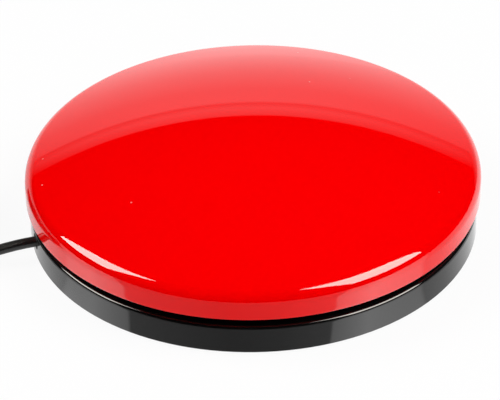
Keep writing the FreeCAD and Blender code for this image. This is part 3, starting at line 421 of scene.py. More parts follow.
# Grains and drawing marks are a tenth of a millimetre or finer on the real surfaces, and are
# drawn at grainMm so that they show
polymers = {
    # Spark-eroded ABS: a dull, even black with a dry grain
    "texturedBlackAbs": {
        "colour": "#141414", "paleColour": "#1b1b1b", "roughness": 0.55, "ior": 1.53,
        "grainMm": 0.4, "grainDepthMm": 0.03, "blotchMm": 12,
    },
    # The same grain on uncoloured structural ABS: a flat light grey
    "texturedGreyAbs": {
        "colour": "#8d8e90", "paleColour": "#98999b", "roughness": 0.5, "ior": 1.53,
        "grainMm": 0.5, "grainDepthMm": 0.02, "blotchMm": 12,
    },
    # Moulded acetal: waxy white with a soft sheen
    "mouldedAcetal": {
        "colour": "#e9e8e2", "paleColour": "#f2f1ec", "roughness": 0.38, "ior": 1.48,
        "grainMm": 0.6, "grainDepthMm": 0.01, "blotchMm": 5,
    },
    # Nitrile and silicone rubbers: dull, with a soft fine grain
    "mouldedRubber": {
        "colour": "#161616", "paleColour": "#202020", "roughness": 0.72, "ior": 1.52,
        "grainMm": 0.3, "grainDepthMm": 0.03, "blotchMm": 4,
    },
    # Cable PVC: a satin black that draws a soft light line along the cord
    "cablePvc": {
        "colour": "#0d0d0d", "paleColour": "#151515", "roughness": 0.36, "ior": 1.53,
        "grainMm": 0.8, "grainDepthMm": 0.015, "blotchMm": 8,
    },
    # Wire PVC: the same satin in the colours of the two conductors
    "redWirePvc": {
        "colour": "#b01f18", "paleColour": "#bd2a20", "roughness": 0.4, "ior": 1.53,
        "grainMm": 0.8, "grainDepthMm": 0.01, "blotchMm": 3,
    },
    "whiteWirePvc": {
        "colour": "#dedcd6", "paleColour": "#e8e6e0", "roughness": 0.4, "ior": 1.53,
        "grainMm": 0.8, "grainDepthMm": 0.01, "blotchMm": 3,
    },
    # Glass-filled PBT of a small switch: dark, dry and faintly speckled
    "glassFilledPbt": {
        "colour": "#1d1e21", "paleColour": "#2a2b2f", "roughness": 0.58, "ior": 1.57,
        "grainMm": 0.25, "grainDepthMm": 0.02, "blotchMm": 0.8,
    },
    # Unfilled PBT of its plunger: brick red and a little smoother
    "redPbt": {
        "colour": "#b8382a", "paleColour": "#c34434", "roughness": 0.42, "ior": 1.57,
        "grainMm": 0.4, "grainDepthMm": 0.01, "blotchMm": 2,
    },
    # Moulded nylon of the ring between the plug's contacts: plain dull black
    "mouldedNylon": {
        "colour": "#1a1a1a", "paleColour": "#222222", "roughness": 0.5, "ior": 1.53,
        "grainMm": 0.3, "grainDepthMm": 0.01, "blotchMm": 2,
    },
}
# Marks of a few hundredths of a millimetre, drawn at markMm so that they show, and shortened
# along the axes that "marks" gives
metals = {
    # Zinc-plated steel: pale, a little blue, with turning marks
    "zincPlatedSteel": {
        "colour": "#c9ccd0", "dullColour": "#aeb2b8", "roughness": 0.3,
        "markMm": 0.2, "marks": (1, 1, 6),
    },
    # Drawn spring steel: darker, with an even fine roughness
    "drawnSteel": {
        "colour": "#b9babd", "dullColour": "#9b9ca0", "roughness": 0.28,
        "markMm": 0.2, "marks": (1, 1, 1),
    },
    # Rolled strip: cool and bright, with lines along the strip
    "rolledSteel": {
        "colour": "#c6c7ca", "dullColour": "#b0b1b4", "roughness": 0.26,
        "markMm": 0.2, "marks": (1, 8, 1),
    },
    # Turned brass: yellow, with fine rings round it
    "turnedBrass": {
        "colour": "#d9b46a", "dullColour": "#bf9850", "roughness": 0.28,
        "markMm": 0.2, "marks": (1, 1, 6),
    },
    # Bright nickel plate: a warm mirror with a few handling marks
    "brightNickel": {
        "colour": "#d8d2c6", "dullColour": "#c8c1b4", "roughness": 0.16,
        "markMm": 0.3, "marks": (1, 1, 1),
    },
}
# Nylon yarns of a quarter of a millimetre, drawn at 0.5 mm so that they show: a dull black that
# greys where the fuzz catches the light
strapNylon = wovenNylon("strapNylon", {
    "colour": "#0c0c0c",
    "paleColour": "#1e1e20",
    "roughness": 0.75,
    "yarnMm": 0.5,
    "yarnDepthMm": 0.08,
    "fuzzMm": 0.4,
    "weaveShare": 0.25,
    "strength": 0.8,
    "ior": 1.53,
    "sheen": 0.3,
    "sheenRoughness": 0.4,
})
made = {name: grainedPolymer(name, look) for name, look in polymers.items()}
made.update({name: workedMetal(name, look) for name, look in metals.items()})

# The finish of each slot of the part
finishOf = {
    "cap_red": polishedRedAbs,
    "base_black": polishedBlackAbs,
    "carrier_grey": made["texturedGreyAbs"],
    "screw_steel": made["zincPlatedSteel"],
    "bush_acetal": made["mouldedAcetal"],
    "damper_rubber": made["mouldedRubber"],
    "foot_rubber": made["mouldedRubber"],
    "spring_steel": made["drawnSteel"],
    "insert_brass": made["turnedBrass"],
    "switch_plastic": made["glassFilledPbt"],
    "plunger_plastic": made["redPbt"],
    "strip_steel": made["rolledSteel"],
    "contact_brass": made["turnedBrass"],
    "cord_black": made["cablePvc"],
    "grommet_rubber": made["mouldedRubber"],
    "clamp_plastic": made["texturedBlackAbs"],
    "wire_red": made["redWirePvc"],
    "wire_white": made["whiteWirePvc"],
    "tie_black": strapNylon,
    "plug_black": made["cablePvc"],
    "plug_metal": made["brightNickel"],
    "plug_insulator": made["mouldedNylon"],
}
for row in frame["record"]["subparts"]:
    slots = frame["nodes"][row["node"]].data.materials
    slots.clear()
    slots.append(finishOf[row["material_slot"]])
# The plate underneath has the slot of the base, but is moulded with a grain
frame["nodes"]["bottom_plate"].data.materials[0] = made["texturedBlackAbs"]
print("materials ready:", len(bpy.data.materials))


# Button cap

cap = {
    "radius": 63.5,
    "wall": 2.5,
    "skirtBottom": 11.7,
    "crown": 30.7,
    "domeRadius": 178.0,
    "edgeRound": 4.2,
    "lipRound": 0.4,
    "ringInside": 46.2,  # the ring under the dome that takes the carrier plate
    "ringOutside": 48.0,
    "ringBottom": 19.9,
    "domeSteps": 64,
    "edgeSteps": 20,
    "skirtSteps": 4,
    "lipSteps": 6,
    "innerEdgeSteps": 8,
    "marginSteps": 6,
    "innerDomeSteps": 24,
    "segments": 288,
}


# Points on an arc in the (radius, height) plane, angles in degrees from straight out
def arcPoints(centre, radius, start, end, count):
    turns = [math.radians(start + (end - start) * k / count) for k in range(count + 1)]
    return [(centre[0] + radius * math.cos(t), centre[1] + radius * math.sin(t)) for t in turns]


# The cap's section from the crown over the outside, round the lip and back up inside
def capProfile():
    domeMiddle = cap["crown"] - cap["domeRadius"]
    edgeX = cap["radius"] - cap["edgeRound"]
    edgeZ = domeMiddle + math.sqrt((cap["domeRadius"] - cap["edgeRound"]) ** 2 - edgeX ** 2)
    join = math.degrees(math.atan2(edgeZ - domeMiddle, edgeX))
    lip = cap["lipRound"]
    low = cap["skirtBottom"]
    outside = arcPoints((0, domeMiddle), cap["domeRadius"], 90, join, cap["domeSteps"])
    outside += arcPoints((edgeX, edgeZ), cap["edgeRound"], join, 0, cap["edgeSteps"])[1:]
    skirtSteps = cap["skirtSteps"]
    outside += [(cap["radius"], edgeZ - (edgeZ - low) * k / skirtSteps) for k in range(1, skirtSteps)]
    outside += arcPoints((cap["radius"] - lip, low + lip), lip, 0, -90, cap["lipSteps"])
    inner = cap["radius"] - cap["wall"]
    inside = arcPoints((inner + lip, low + lip), lip, -90, -180, cap["lipSteps"])
    inside += arcPoints((edgeX, edgeZ), cap["edgeRound"] - cap["wall"], 0, join, cap["innerEdgeSteps"])
    innerDome = cap["domeRadius"] - cap["wall"]

    def under(radius):
        return (radius, domeMiddle + math.sqrt(innerDome ** 2 - radius ** 2))

    # The margin outside the ring starts clear of the inner round
    margin = inner - cap["ringOutside"]
    marginSteps = cap["marginSteps"]
    inside += [under(inner - margin * k / marginSteps) for k in range(2, marginSteps + 1)]
    inside += [(cap["ringOutside"], cap["ringBottom"]), (cap["ringInside"], cap["ringBottom"])]
    domeSteps = cap["innerDomeSteps"]
    inside += [under(cap["ringInside"] * (1 - k / domeSteps)) for k in range(domeSteps + 1)]
    return outside + inside


# A solid of revolution round the Z axis, from the points of its section in millimetres: the
# section starts and ends on the axis, or ends where it started and makes a ring
def lathe(name, profile, segments, material):
    shape = bmesh.new()
    rings = []
    for radius, height in profile:
        if radius < meshing["onAxis"]:
            rings.append([shape.verts.new((0, 0, height * mm))])
            continue
        ring = []
        for k in range(segments):
            angle = 2 * math.pi * k / segments
            across = radius * mm
            ring.append(shape.verts.new((across * math.cos(angle), across * math.sin(angle), height * mm)))
        rings.append(ring)
    for first, second in zip(rings, rings[1:]):
        for k in range(segments):
            after = (k + 1) % segments
            if len(first) == 1:
                shape.faces.new((first[0], second[k], second[after]))
            elif len(second) == 1:
                shape.faces.new((first[k], second[0], first[after]))
            else:
                shape.faces.new((first[k], second[k], second[after], first[after]))
    bmesh.ops.remove_doubles(shape, verts=shape.verts, dist=meshing["weld"])
    return smoothPiece(name, shape, material)


capPiece = lathe("cap", capProfile(), cap["segments"], polishedRedAbs)
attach(capPiece, "button")
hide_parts("button_cap")
print("cap ready")


# Base edge: a finely divided skin over the base's top round and land, which have to reflect cleanly

baseEdge = {
    "radius": 62.5,
    "top": 8.7,
    "edgeRound": 1.1,
    "collar": 56.0,
    "proud": 0.01,  # clear of the base's own surface
    "depth": 0.4,  # how far the skin reaches into the base, where it isn't seen
    "lowestAngle": 10.0,  # where it comes out of the wall, above the cord's hole
    "roundSteps": 14,
    "hiddenSteps": 6,
    "segments": 360,
}


def baseEdgeProfile():
    low = baseEdge["lowestAngle"]
    middle = (baseEdge["radius"] - baseEdge["edgeRound"], baseEdge["top"] - baseEdge["edgeRound"])
    seen = arcPoints(middle, baseEdge["edgeRound"] + baseEdge["proud"], low, 90, baseEdge["roundSteps"])
    hidden = arcPoints(middle, baseEdge["edgeRound"] - baseEdge["depth"], 90, low, baseEdge["hiddenSteps"])
    land = [(baseEdge["collar"], baseEdge["top"] + baseEdge["proud"]),
            (baseEdge["collar"], baseEdge["top"] - baseEdge["depth"])]
    return seen + land + hidden + [seen[0]]


edgePiece = lathe("baseEdge", baseEdgeProfile(), baseEdge["segments"], polishedBlackAbs)
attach(edgePiece, "base")
print("base edge ready")


# Cord: out of the wall, down to the table, into the coil from outside, and off its top to the plug

cord = {
    "diameter": 3.0,
    "length": 1.80,  # in metres
    "lead": [(-60.370, -16.176, 5.4), (-64.717, -17.341, 5.4), (-72.444, -19.412, 4.35),
             (-84.113, -22.213, 2.4)],
    "coilMiddle": (-102.284, -0.200),
    "coilOutside": 24.84,
    "coilInside": 11.16,
    "coilStart": 281.321,
    "coilBottom": 2.4,
    "pitch": 3.6,  # from one layer up to the next
    "turns": 15.2,
    "layers": 4,
    "ease": 0.25,  # turns before and after the climb to the next layer
    "pointsPerTurn": 24,
    "tail": [(-129.04, -3.76, 13.2), (-133.27, 6.39, 9.7), (-136.34, 19.02, 4.5),
             (-137.404, 26.953, 4.5)],
    "sides": 16,
    "wireSides": 12,
}


# How far in the winding is, from 0 outside to 1 inside, and how many layers it has climbed:
# it winds inwards on one layer and outwards on the next
def wound(turn):
    perLayer = cord["turns"] / cord["layers"]
    width = cord["ease"] / perLayer
    phase = turn / perLayer
    near = min(max(round(phase), 1), cord["layers"] - 1)
    offset = phase - near
    away = abs(offset)
    if away < width:
        away = (offset ** 2 / width + width) / 2  # a parabola takes the corner off the reversal
    share = min(max(offset / width, -1), 1)
    climbed = near - 1 + (1 + share * (3 - share ** 2) / 2) / 2  # a smooth step up
    return (away if near % 2 == 0 else 1 - away), climbed


def coilPoint(turn):
    inwards, climbed = wound(turn)
    radius = cord["coilOutside"] + (cord["coilInside"] - cord["coilOutside"]) * inwards
    angle = math.radians(cord["coilStart"]) - 2 * math.pi * turn
    x, y = cord["coilMiddle"]
    height = cord["coilBottom"] + cord["pitch"] * climbed
    return (x + radius * math.cos(angle), y + radius * math.sin(angle), height)


coilCount = round(cord["turns"] * cord["pointsPerTurn"])
coilPoints = [coilPoint(cord["turns"] * k / coilCount) for k in range(coilCount + 1)]
cordPoints = cord["lead"] + coilPoints + cord["tail"]


curves = {"order": 3, "resolution": 3}


# A smooth round cord or wire of one thickness along a few points
def smoothCurve(name, points, radius, sides):
    curve = bpy.data.curves.new(name, "CURVE")
    curve.dimensions = "3D"
    curve.bevel_depth = radius * mm
    curve.bevel_resolution = sides // 2 - 2  # a round bevel of no resolution has four sides
    curve.resolution_u = curves["resolution"]
    curve.use_fill_caps = True
    spline = curve.splines.new("NURBS")
    spline.points.add(len(points) - 1)
    for slot, point in zip(spline.points, points):
        slot.co = (point[0] * mm, point[1] * mm, point[2] * mm, 1)
    spline.order_u = curves["order"]
    spline.use_endpoint_u = True
    return curve


# Strap round the coil

strap = {
    "width": 8.0,
    "thickness": 0.75,
    "inside": 8.643,  # from the coil's middle to the room that the strap leaves for the turns
    "roomLength": 17.847,
    "roomHeight": 14.1,
    "bend": 2.4,
    "bendSteps": 6,
    "edgeCut": 0.2,
    "azimuth": 120.0,
    "overlap": 6.4,
    "lift": 0.78,  # how far the end lies above the start
    "step": 0.6,  # the strap comes back to this far from its start
    "endSteps": 6,
}


# The strap's middle line, round the bundle and over its own start, as place, height and outward angle
def strapLine():
    half = strap["thickness"] / 2
    bend = strap["bend"] - half
    low, high = half, strap["roomHeight"] + strap["thickness"] + half
    near, far = strap["inside"] - half, strap["inside"] + strap["roomLength"] + half
    corners = [(far - bend, high - bend, 90), (far - bend, low + bend, 0),
               (near + bend, low + bend, -90), (near + bend, high - bend, -180)]
    middle = (near + far) / 2
    line = [(middle, high, 90)]
    for x, z, first in corners:
        for k in range(strap["bendSteps"] + 1):
            angle = first - 90 * k / strap["bendSteps"]
            turn = math.radians(angle)
            line.append((x + bend * math.cos(turn), z + bend * math.sin(turn), angle))
    line.append((middle - strap["step"], high, 90))
    # The end climbs onto the start over half its length, and lies on it
    for k in range(1, strap["endSteps"] + 1):
        share = k / strap["endSteps"]
        rise = strap["lift"] * min(1, 2 * share) ** 0.5
        line.append((middle + strap["overlap"] * share - strap["step"], high + rise, 90))
    return line


# The strap's section swept along that line, with its width and length in millimetres as the UV
def strapShape(name, material):
    line = strapLine()
    shape = bmesh.new()
    layer = shape.loops.layers.uv.new("strap")
    edge = strap["thickness"] / 2
    side = strap["width"] / 2
    cut = strap["edgeCut"]
    section = [(-side + cut, edge), (side - cut, edge), (side, edge - cut), (side, cut - edge),
               (side - cut, -edge), (-side + cut, -edge), (-side, cut - edge), (-side, edge - cut)]
    turn = Matrix.Rotation(math.radians(strap["azimuth"]), 3, "Z")
    middle = Vector((*cord["coilMiddle"], 0))
    along = [0.0]
    for before, after in zip(line, line[1:]):
        along.append(along[-1] + math.dist(before[:2], after[:2]))
    rings = []
    for x, z, angle in line:
        out = Vector((math.cos(math.radians(angle)), 0, math.sin(math.radians(angle))))
        spots = [Vector((x, across, z)) + out * high for across, high in section]
        rings.append([shape.verts.new((middle + turn @ spot) * mm) for spot in spots])
    count = len(section)
    for k in range(len(rings) - 1):
        for j in range(count):
            after = (j + 1) % count
            face = shape.faces.new((rings[k][j], rings[k][after], rings[k + 1][after], rings[k + 1][j]))
            corners = ((j, k), (j + 1, k), (j + 1, k + 1), (j, k + 1))
            for loop, (where, row) in zip(face.loops, corners):
                loop[layer].uv = (section[where % count][0] * mm, along[row] * mm)
    for ring in (rings[0], rings[-1]):
        shape.faces.new(ring)
    return smoothPiece(name, shape, material)


strapPiece = strapShape("coilStrap", strapNylon)
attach(strapPiece, "base")
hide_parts("coil_tie")
print("strap ready")


# Boot of the plug: a ribbed strain relief that runs into a grip with shallow finger rings

boot = {
    "place": (-137.404, 26.953, 4.5),
    "heading": 97.643,
    "bootLength": 10.0,
    "bootRadius": 2.3,
    "endRound": 0.3,
    "taper": 0.07,  # how much wider the boot gets for each millimetre
    "ribs": 5,
    "ribsFrom": 0.9,
    "ribsLeave": 2.0,  # the part of the boot's length that has no ribs
    "ribDepth": 0.45,
    "ribLip": 0.05,
    "ribShape": (0.22, 0.5, 0.72),  # where a groove is deep, starts to rise and ends, in its pitch
    # From the boot up to the grip: shares of the grip's radius, and places from the boot's end
    "neck": [(0.66, -0.8), (0.8, 0.0), (0.95, 0.9), (1.0, 2.0)],
    "gripLength": 18.0,
    "gripRadius": 4.5,
    "rings": 4,
    "ringDepth": 0.3,
    "ringPitch": 2.2,
    "ringSteps": 4,  # to each side of a ring's middle
    "ringStep": 0.13,
    "shoulder": 0.9,
    "shoulderSteps": 6,
    "segments": 64,
}


# Outline of the boot as radius and place along the plug's axis
def bootProfile():
    bootEnd = boot["bootLength"]
    gripEnd = bootEnd + boot["gripLength"]
    wide = boot["gripRadius"]
    outline = [(0, 0), (boot["bootRadius"] - boot["endRound"], 0), (boot["bootRadius"], boot["endRound"])]
    pitch = (bootEnd - boot["ribsLeave"]) / boot["ribs"]
    deep, rising, over = boot["ribShape"]
    for k in range(boot["ribs"]):
        start = boot["ribsFrom"] + pitch * k
        radius = boot["bootRadius"] + boot["taper"] * start
        groove = radius - boot["ribDepth"]
        outline += [(radius, start), (groove, start + deep * pitch), (groove, start + rising * pitch),
                    (radius + boot["ribLip"], start + over * pitch)]
    outline += [(wide * share, bootEnd + place) for share, place in boot["neck"]]
    steps = boot["ringSteps"]
    first = bootEnd + 0.5 * (boot["gripLength"] - boot["ringPitch"] * (boot["rings"] - 1))
    for k in range(boot["rings"]):
        for step in range(-steps, steps + 1):
            depth = boot["ringDepth"] * math.cos(math.pi * step / (2 * steps))
            outline.append((wide - depth, first + boot["ringPitch"] * k + boot["ringStep"] * step))
    shoulder = boot["shoulder"]
    outline += arcPoints((wide - shoulder, gripEnd - shoulder), shoulder, 0, 90, boot["shoulderSteps"])
    return outline + [(0, gripEnd)]


bootPiece = lathe("plugBoot", bootProfile(), boot["segments"], made["cablePvc"])
heading = math.radians(boot["heading"])
plugAxis = Vector((math.cos(heading), math.sin(heading), 0))
bootTurn = plugAxis.to_track_quat("Z", "Y").to_matrix().to_4x4()
bootPiece.data.transform(Matrix.Translation(Vector(boot["place"]) * mm) @ bootTurn)
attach(bootPiece, "base")
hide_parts("plug_grip")
print("plug boot ready")


# The cord comes after the pieces that lie on it

cordCurve = smoothCurve("cord", cordPoints, cord["diameter"] / 2, cord["sides"])
cordPiece = newPiece("cord", cordCurve, made["cablePvc"])
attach(cordPiece, "base")
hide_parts("cable_lead", "cable_coil", "cable_tail")
print("cord ready, points:", len(cordPoints))


# The cord's end inside the base, stripped to its two conductors, which run to the switch

inner = {
    "azimuth": 195.0,
    "exitLevel": 5.4,
    "from": 62.5,  # measured from the middle of the base, as is "to"
    "to": 41.5,
    "steps": 3,
    "stub": 3.0,  # the conductors run on straight for this far
    "wireRadius": 0.4,
    "wireSpacing": 1.4,
    "wires": [
        {"name": "signalWire", "node": "signal_wire", "slot": "wire_red", "finish": "redWirePvc",
         "side": -0.5,
         "way": [(-32.0, -7.4, 4.65), (-23.0, -6.4, 4.65), (-15.5, -7.4, 4.65), (-10.5, -4.4, 4.65),
                 (-10.5, -2.0, 4.84), (-10.5, 0.65, 4.84)]},
        {"name": "returnWire", "node": "return_wire", "slot": "wire_white", "finish": "whiteWirePvc",
         "side": 0.5,
         "way": [(-31.5, -10.2, 4.65), (-21.0, -9.8, 4.65), (-10.0, -10.3, 4.65), (-1.1, -9.0, 4.65),
                 (4.4, -5.6, 4.65), (4.4, -2.0, 4.84), (4.4, 0.65, 4.84)]},
    ],
}


# A point on the cord's way out, at a distance from the middle and a little to one side
def outPoint(distance, sideways):
    angle = math.radians(inner["azimuth"])
    x = distance * math.cos(angle) - sideways * math.sin(angle)
    y = distance * math.sin(angle) + sideways * math.cos(angle)
    return (x, y, inner["exitLevel"])


def insidePiece(name, points, radius, material, node):
    piece = newPiece(name, smoothCurve(name, points, radius, cord["wireSides"]), material)
    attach(piece, "base")
    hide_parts(node)


reach = inner["from"] - inner["to"]
endPoints = [outPoint(inner["to"] + reach * k / inner["steps"], 0) for k in range(inner["steps"] + 1)]
insidePiece("cordEnd", endPoints, cord["diameter"] / 2, made["cablePvc"], "inner_cable")
for wire in inner["wires"]:
    sideways = wire["side"] * inner["wireSpacing"]
    points = [outPoint(inner["to"], sideways), outPoint(inner["to"] - inner["stub"], sideways)] + wire["way"]
    finish = made[wire["finish"]]
    insidePiece(wire["name"], points, inner["wireRadius"], finish, wire["node"])
print("inner wires ready")


# Return springs, built at rest; in the real switch the press shortens them

spring = {
    "wire": 0.8,
    "radius": 6.25,
    "turns": 5,
    "bottom": 8.7,
    "top": 19.008,
    "circle": 38.0,
    "azimuths": (90, 210, 330),
    "travel": 1.5,
    "pointsPerTurn": 24,
    "sides": 12,
}


def springPiece(letter, azimuth):
    rise = spring["top"] - spring["bottom"] - spring["wire"]
    count = spring["turns"] * spring["pointsPerTurn"]
    middle = Matrix.Rotation(math.radians(azimuth), 3, "Z") @ Vector((spring["circle"], 0, 0))
    points = []
    for k in range(count + 1):
        angle = math.radians(azimuth) + 2 * math.pi * k / spring["pointsPerTurn"]
        around = Vector((math.cos(angle), math.sin(angle), 0)) * spring["radius"]
        height = spring["bottom"] + spring["wire"] / 2 + rise * k / count
        points.append(middle + around + Vector((0, 0, height)))
    # The spring is made a mesh, so the curve is only a step on the way
    curve = smoothCurve("springPath" + letter, points, spring["wire"] / 2, spring["sides"])
    path = bpy.data.objects.new("springPath" + letter, curve)
    bpy.context.scene.collection.objects.link(path)
    bpy.context.view_layer.update()
    mesh = bpy.data.meshes.new_from_object(path.evaluated_get(bpy.context.evaluated_depsgraph_get()))
    bpy.data.objects.remove(path)
    mesh.materials.clear()
    piece = newPiece("spring" + letter.upper(), mesh, made["drawnSteel"])
    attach(piece, "base")
    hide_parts("return_spring_" + letter)
    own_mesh(piece)


for letter, azimuth in zip("abc", spring["azimuths"]):
    springPiece(letter, azimuth)
print("springs ready")


# Floor, room and lights

# Levels are measured against paper white. The boxes stand left and right of the button in a dark
# room, with a pale backdrop behind, and each lights the floor on its side. In the gloss, the floor
# shows painted light and shade: a painted pool of light on each side, and painted shade in front of
# the button, in a sector that opens from a point under it.
studio = {
    "floorSize": 6.0,  # in metres
    "floorColour": "#f2f2f2",
    "floorGlow": 0.93,  # the share of plain white in what the camera sees, beside the floor's shadows
    "floorDrop": 0.05,  # keeps the floor clear of the feet
    "floorTop": 2.6,  # the level at the top of the floor's ramp
    "floorApex": -39.0,  # where that point lies along Y
    # Angles round that point in degrees, from the camera's side and positive to the right, with the
    # painted levels: behind, left behind, the left box's painted pool of light, the painted shade, the
    # right box's painted pool of light, right behind
    "paintedFloorLevels": [(-180, 1.2), (-125, 0.9), (-97, 0.95), (-95, 1.35), (-84, 1.8), (-69, 1.4),
                    (-67.5, 0.52), (-15, 0.35), (15, 0.42), (43.5, 0.6), (45, 1.6), (62, 2.5), (85.5, 1.42),
                    (87, 0.88), (96, 0.85), (111, 1.2), (180, 1.2)],
    "backdropTop": 1.1,  # the level at the top of the backdrop's ramp
    # Slopes upwards from the horizon: the sweep's foot, its dim middle, a seam and the dark above
    "backdropLevels": [(0.0, 1.1), (0.16, 0.8), (0.32, 0.63), (0.425, 0.7), (0.44, 0.34), (0.48, 0.57),
                       (0.538, 0.37), (0.545, 0.0)],
    "backdropFade": 11.0,
    # Sideways slopes where each end starts and stops fading, and the share that is left beyond
    "backdropEnds": [(-0.5, -1.1, 0.5), (0.5, 1.1, 0.0)],
    "backdropSlant": 0.22,  # how much brighter its left end is than its middle
    "backdropReach": 1.1,  # the sideways slope of either end
    "nearlySideways": 0.001,  # keeps the slopes finite beside and behind the camera
    "ambient": 0.4,  # what everything but gloss gets from the room
}

floorMesh = bpy.data.meshes.new("floor")
half = studio["floorSize"] / 2
corners = [(-half, -half, 0), (half, -half, 0), (half, half, 0), (-half, half, 0)]
floorMesh.from_pydata(corners, [], [(0, 1, 2, 3)])
# Matt white card: it shows no gloss, only the soft shadow of the button; what the button's gloss
# sees of it is painted light and shade
floorMaterial, tree = newMaterial("mattWhiteCard")
path = add(tree, "ShaderNodeLightPath", {})
place = add(tree, "ShaderNodeTexCoord", {}).outputs["Object"]
axes = add(tree, "ShaderNodeSeparateXYZ", {}, {0: place})
forwards = add(
    tree,
    "ShaderNodeMath",
    {"operation": "SUBTRACT", 0: studio["floorApex"] * mm},
    {1: axes.outputs["Y"]},
)
bearing = add(
    tree,
    "ShaderNodeMath",
    {"operation": "ARCTAN2"},
    {0: axes.outputs["X"], 1: forwards.outputs[0]},
)
share = add(
    tree,
    "ShaderNodeMapRange",
    {"From Min": -math.pi, "From Max": math.pi},
    {"Value": bearing.outputs[0]},
)
# Painted light and shade on the floor, by angle round that point: pools of light beside the button and shade
# in front of it
paintedLightAndShade = add(
    tree,
    "ShaderNodeValToRGB",
    {"stops": [((angle + 180) / 360, level / studio["floorTop"]) for angle, level in studio["paintedFloorLevels"]]},
    {0: share.outputs[0]},
)
# The floor's painted light and shade, as an emission that only gloss sees
shine = add(tree, "ShaderNodeEmission", {"Strength": studio["floorTop"]}, {"Color": paintedLightAndShade.outputs[0]})
glow = add(
    tree,
    "ShaderNodeMath",
    {"operation": "MULTIPLY", 1: studio["floorGlow"]},
    {0: path.outputs["Is Camera Ray"]},
)
diffuse = add(tree, "ShaderNodeBsdfDiffuse", {"Color": linear(studio["floorColour"])})
white = add(tree, "ShaderNodeEmission", {"Strength": 1.0})
plain = add(
    tree,
    "ShaderNodeMixShader",
    {},
    {0: glow.outputs[0], 1: diffuse.outputs[0], 2: white.outputs[0]},
)
# Gloss sees the sectors of painted light and shade, and everything else a plain pale floor
reflected = add(
    tree,
    "ShaderNodeMath",
    {"operation": "MAXIMUM"},
    {0: path.outputs["Is Glossy Ray"], 1: path.outputs["Is Transmission Ray"]},
)
mixed = add(
    tree,
    "ShaderNodeMixShader",
    {},
    {0: reflected.outputs[0], 1: plain.outputs[0], 2: shine.outputs[0]},
)
add(tree, "ShaderNodeOutputMaterial", {}, {"Surface": mixed.outputs[0]})
floor = newPiece("floor", floorMesh, floorMaterial)
floor.location.z = -studio["floorDrop"] * mm

world = bpy.data.worlds.new("studio")
bpy.context.scene.world = world
world.use_nodes = True
tree = world.node_tree
tree.nodes.clear()
direction = add(tree, "ShaderNodeTexCoord", {}).outputs["Generated"]
axes = add(tree, "ShaderNodeSeparateXYZ", {}, {0: direction})
behind = add(
    tree,
    "ShaderNodeMath",
    {"operation": "MAXIMUM", 1: studio["nearlySideways"]},
    {0: axes.outputs["Y"]},
)
slope = add(tree, "ShaderNodeMath", {"operation": "DIVIDE"}, {0: axes.outputs["Z"], 1: behind.outputs[0]})
aside = add(tree, "ShaderNodeMath", {"operation": "DIVIDE"}, {0: axes.outputs["X"], 1: behind.outputs[0]})
backdrop = add(
    tree,
    "ShaderNodeValToRGB",
    {"stops": [(position, level / studio["backdropTop"]) for position, level in studio["backdropLevels"]]},
    {0: slope.outputs[0]},
)
# The backdrop is lit from its middle, so its upper corners fade and its sides end in the dark
corner = add(tree, "ShaderNodeMath", {"operation": "MULTIPLY"}, {0: slope.outputs[0], 1: aside.outputs[0]})
squared = add(
    tree,
    "ShaderNodeMath",
    {"operation": "MULTIPLY"},
    {0: corner.outputs[0], 1: corner.outputs[0]},
)
fade = add(
    tree,
    "ShaderNodeMath",
    {"operation": "MULTIPLY_ADD", 1: -studio["backdropFade"], 2: 1.0, "use_clamp": True},
    {0: squared.outputs[0]},
)
slanted = add(
    tree,
    "ShaderNodeMapRange",
    {
        "From Min": -studio["backdropReach"],
        "From Max": studio["backdropReach"],
        "To Min": studio["backdropTop"] * (1 + studio["backdropSlant"]),
        "To Max": studio["backdropTop"] * (1 - studio["backdropSlant"]),
    },
    {"Value": aside.outputs[0]},
)
level = add(tree, "ShaderNodeMath", {"operation": "MULTIPLY"}, {0: fade.outputs[0], 1: slanted.outputs[0]})
for near, far, left in studio["backdropEnds"]:
    ends = add(
        tree,
        "ShaderNodeMapRange",
        {"From Min": near, "From Max": far, "To Min": 1.0, "To Max": left},
        {"Value": aside.outputs[0]},
    )
    level = add(tree, "ShaderNodeMath", {"operation": "MULTIPLY"}, {0: level.outputs[0], 1: ends.outputs[0]})
room = add(tree, "ShaderNodeBackground", {}, {"Color": backdrop.outputs[0], "Strength": level.outputs[0]})
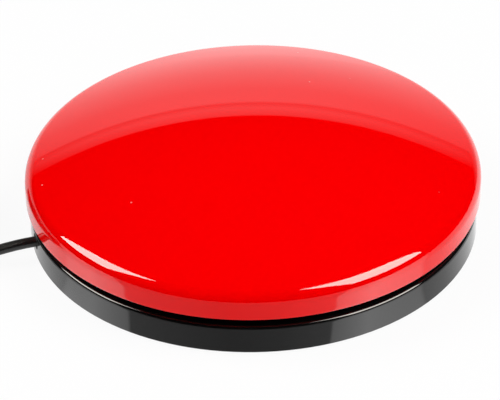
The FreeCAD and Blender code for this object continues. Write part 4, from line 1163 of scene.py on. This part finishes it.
# Gloss sees that room, the camera plain white, and everything else a soft even light
path = add(tree, "ShaderNodeLightPath", {})
soft = add(tree, "ShaderNodeBackground", {"Strength": studio["ambient"]})
white = add(tree, "ShaderNodeBackground", {"Strength": 1.0})
reflected = add(
    tree,
    "ShaderNodeMath",
    {"operation": "MAXIMUM"},
    {0: path.outputs["Is Glossy Ray"], 1: path.outputs["Is Transmission Ray"]},
)
lit = add(
    tree,
    "ShaderNodeMixShader",
    {},
    {0: reflected.outputs[0], 1: soft.outputs[0], 2: room.outputs[0]},
)
shown = add(
    tree,
    "ShaderNodeMixShader",
    {},
    {0: path.outputs["Is Camera Ray"], 1: lit.outputs[0], 2: white.outputs[0]},
)
add(tree, "ShaderNodeOutputWorld", {}, {"Surface": shown.outputs[0]})

# The boxes shine far brighter than the plain level that lights the colours, so each is two lamps:
# one lights the button, and the other only shows in its gloss. Sizes and distances are in metres.
softboxes = {
    # "from" is the azimuth from the camera's side, positive to the right, and the elevation
    "leftBox": {"from": (-97.2, 45.2), "size": (0.62, 0.7), "roll": 14.2},
    "rightBox": {"from": (72.4, 49.9), "size": (0.77, 0.86), "roll": -10.4},
    "distance": 1.2,
    "light": 4.6,  # the level that lights the button
    "lightColour": "#ffffff",
    "shineDistance": 1.19,
    "shine": 13.4,  # the level that shows in its gloss
    "shineColour": "#fff8f0",
}


# One lamp of a softbox: it faces the button and gives off light of an even level
def softboxLamp(name, look, distance, level, colour):
    data = bpy.data.lights.new(name, "AREA")
    data.shape = "RECTANGLE"
    data.size, data.size_y = look["size"]
    data.energy = math.pi * level * data.size * data.size_y  # in watts, for that level all over
    data.color = linear(colour)[:3]
    lamp = bpy.data.objects.new(name, data)
    bpy.context.scene.collection.objects.link(lamp)
    azimuth, height = (math.radians(a) for a in look["from"])
    across = math.cos(height)
    away = Vector((math.sin(azimuth) * across, -math.cos(azimuth) * across, math.sin(height)))
    lamp.location = away * distance
    lamp.rotation_mode = "QUATERNION"
    roll = Euler((0, 0, math.radians(look["roll"]))).to_quaternion()
    lamp.rotation_quaternion = away.to_track_quat("Z", "Y") @ roll
    lamp.visible_camera = False
    return lamp


for name in ("leftBox", "rightBox"):
    look = softboxes[name]
    lighting = softboxLamp(name, look, softboxes["distance"], softboxes["light"], softboxes["lightColour"])
    lighting.visible_glossy = False
    shining = softboxLamp(
        name + "Shine", look, softboxes["shineDistance"], softboxes["shine"], softboxes["shineColour"]
    )
    shining.visible_diffuse = False
print("studio ready")
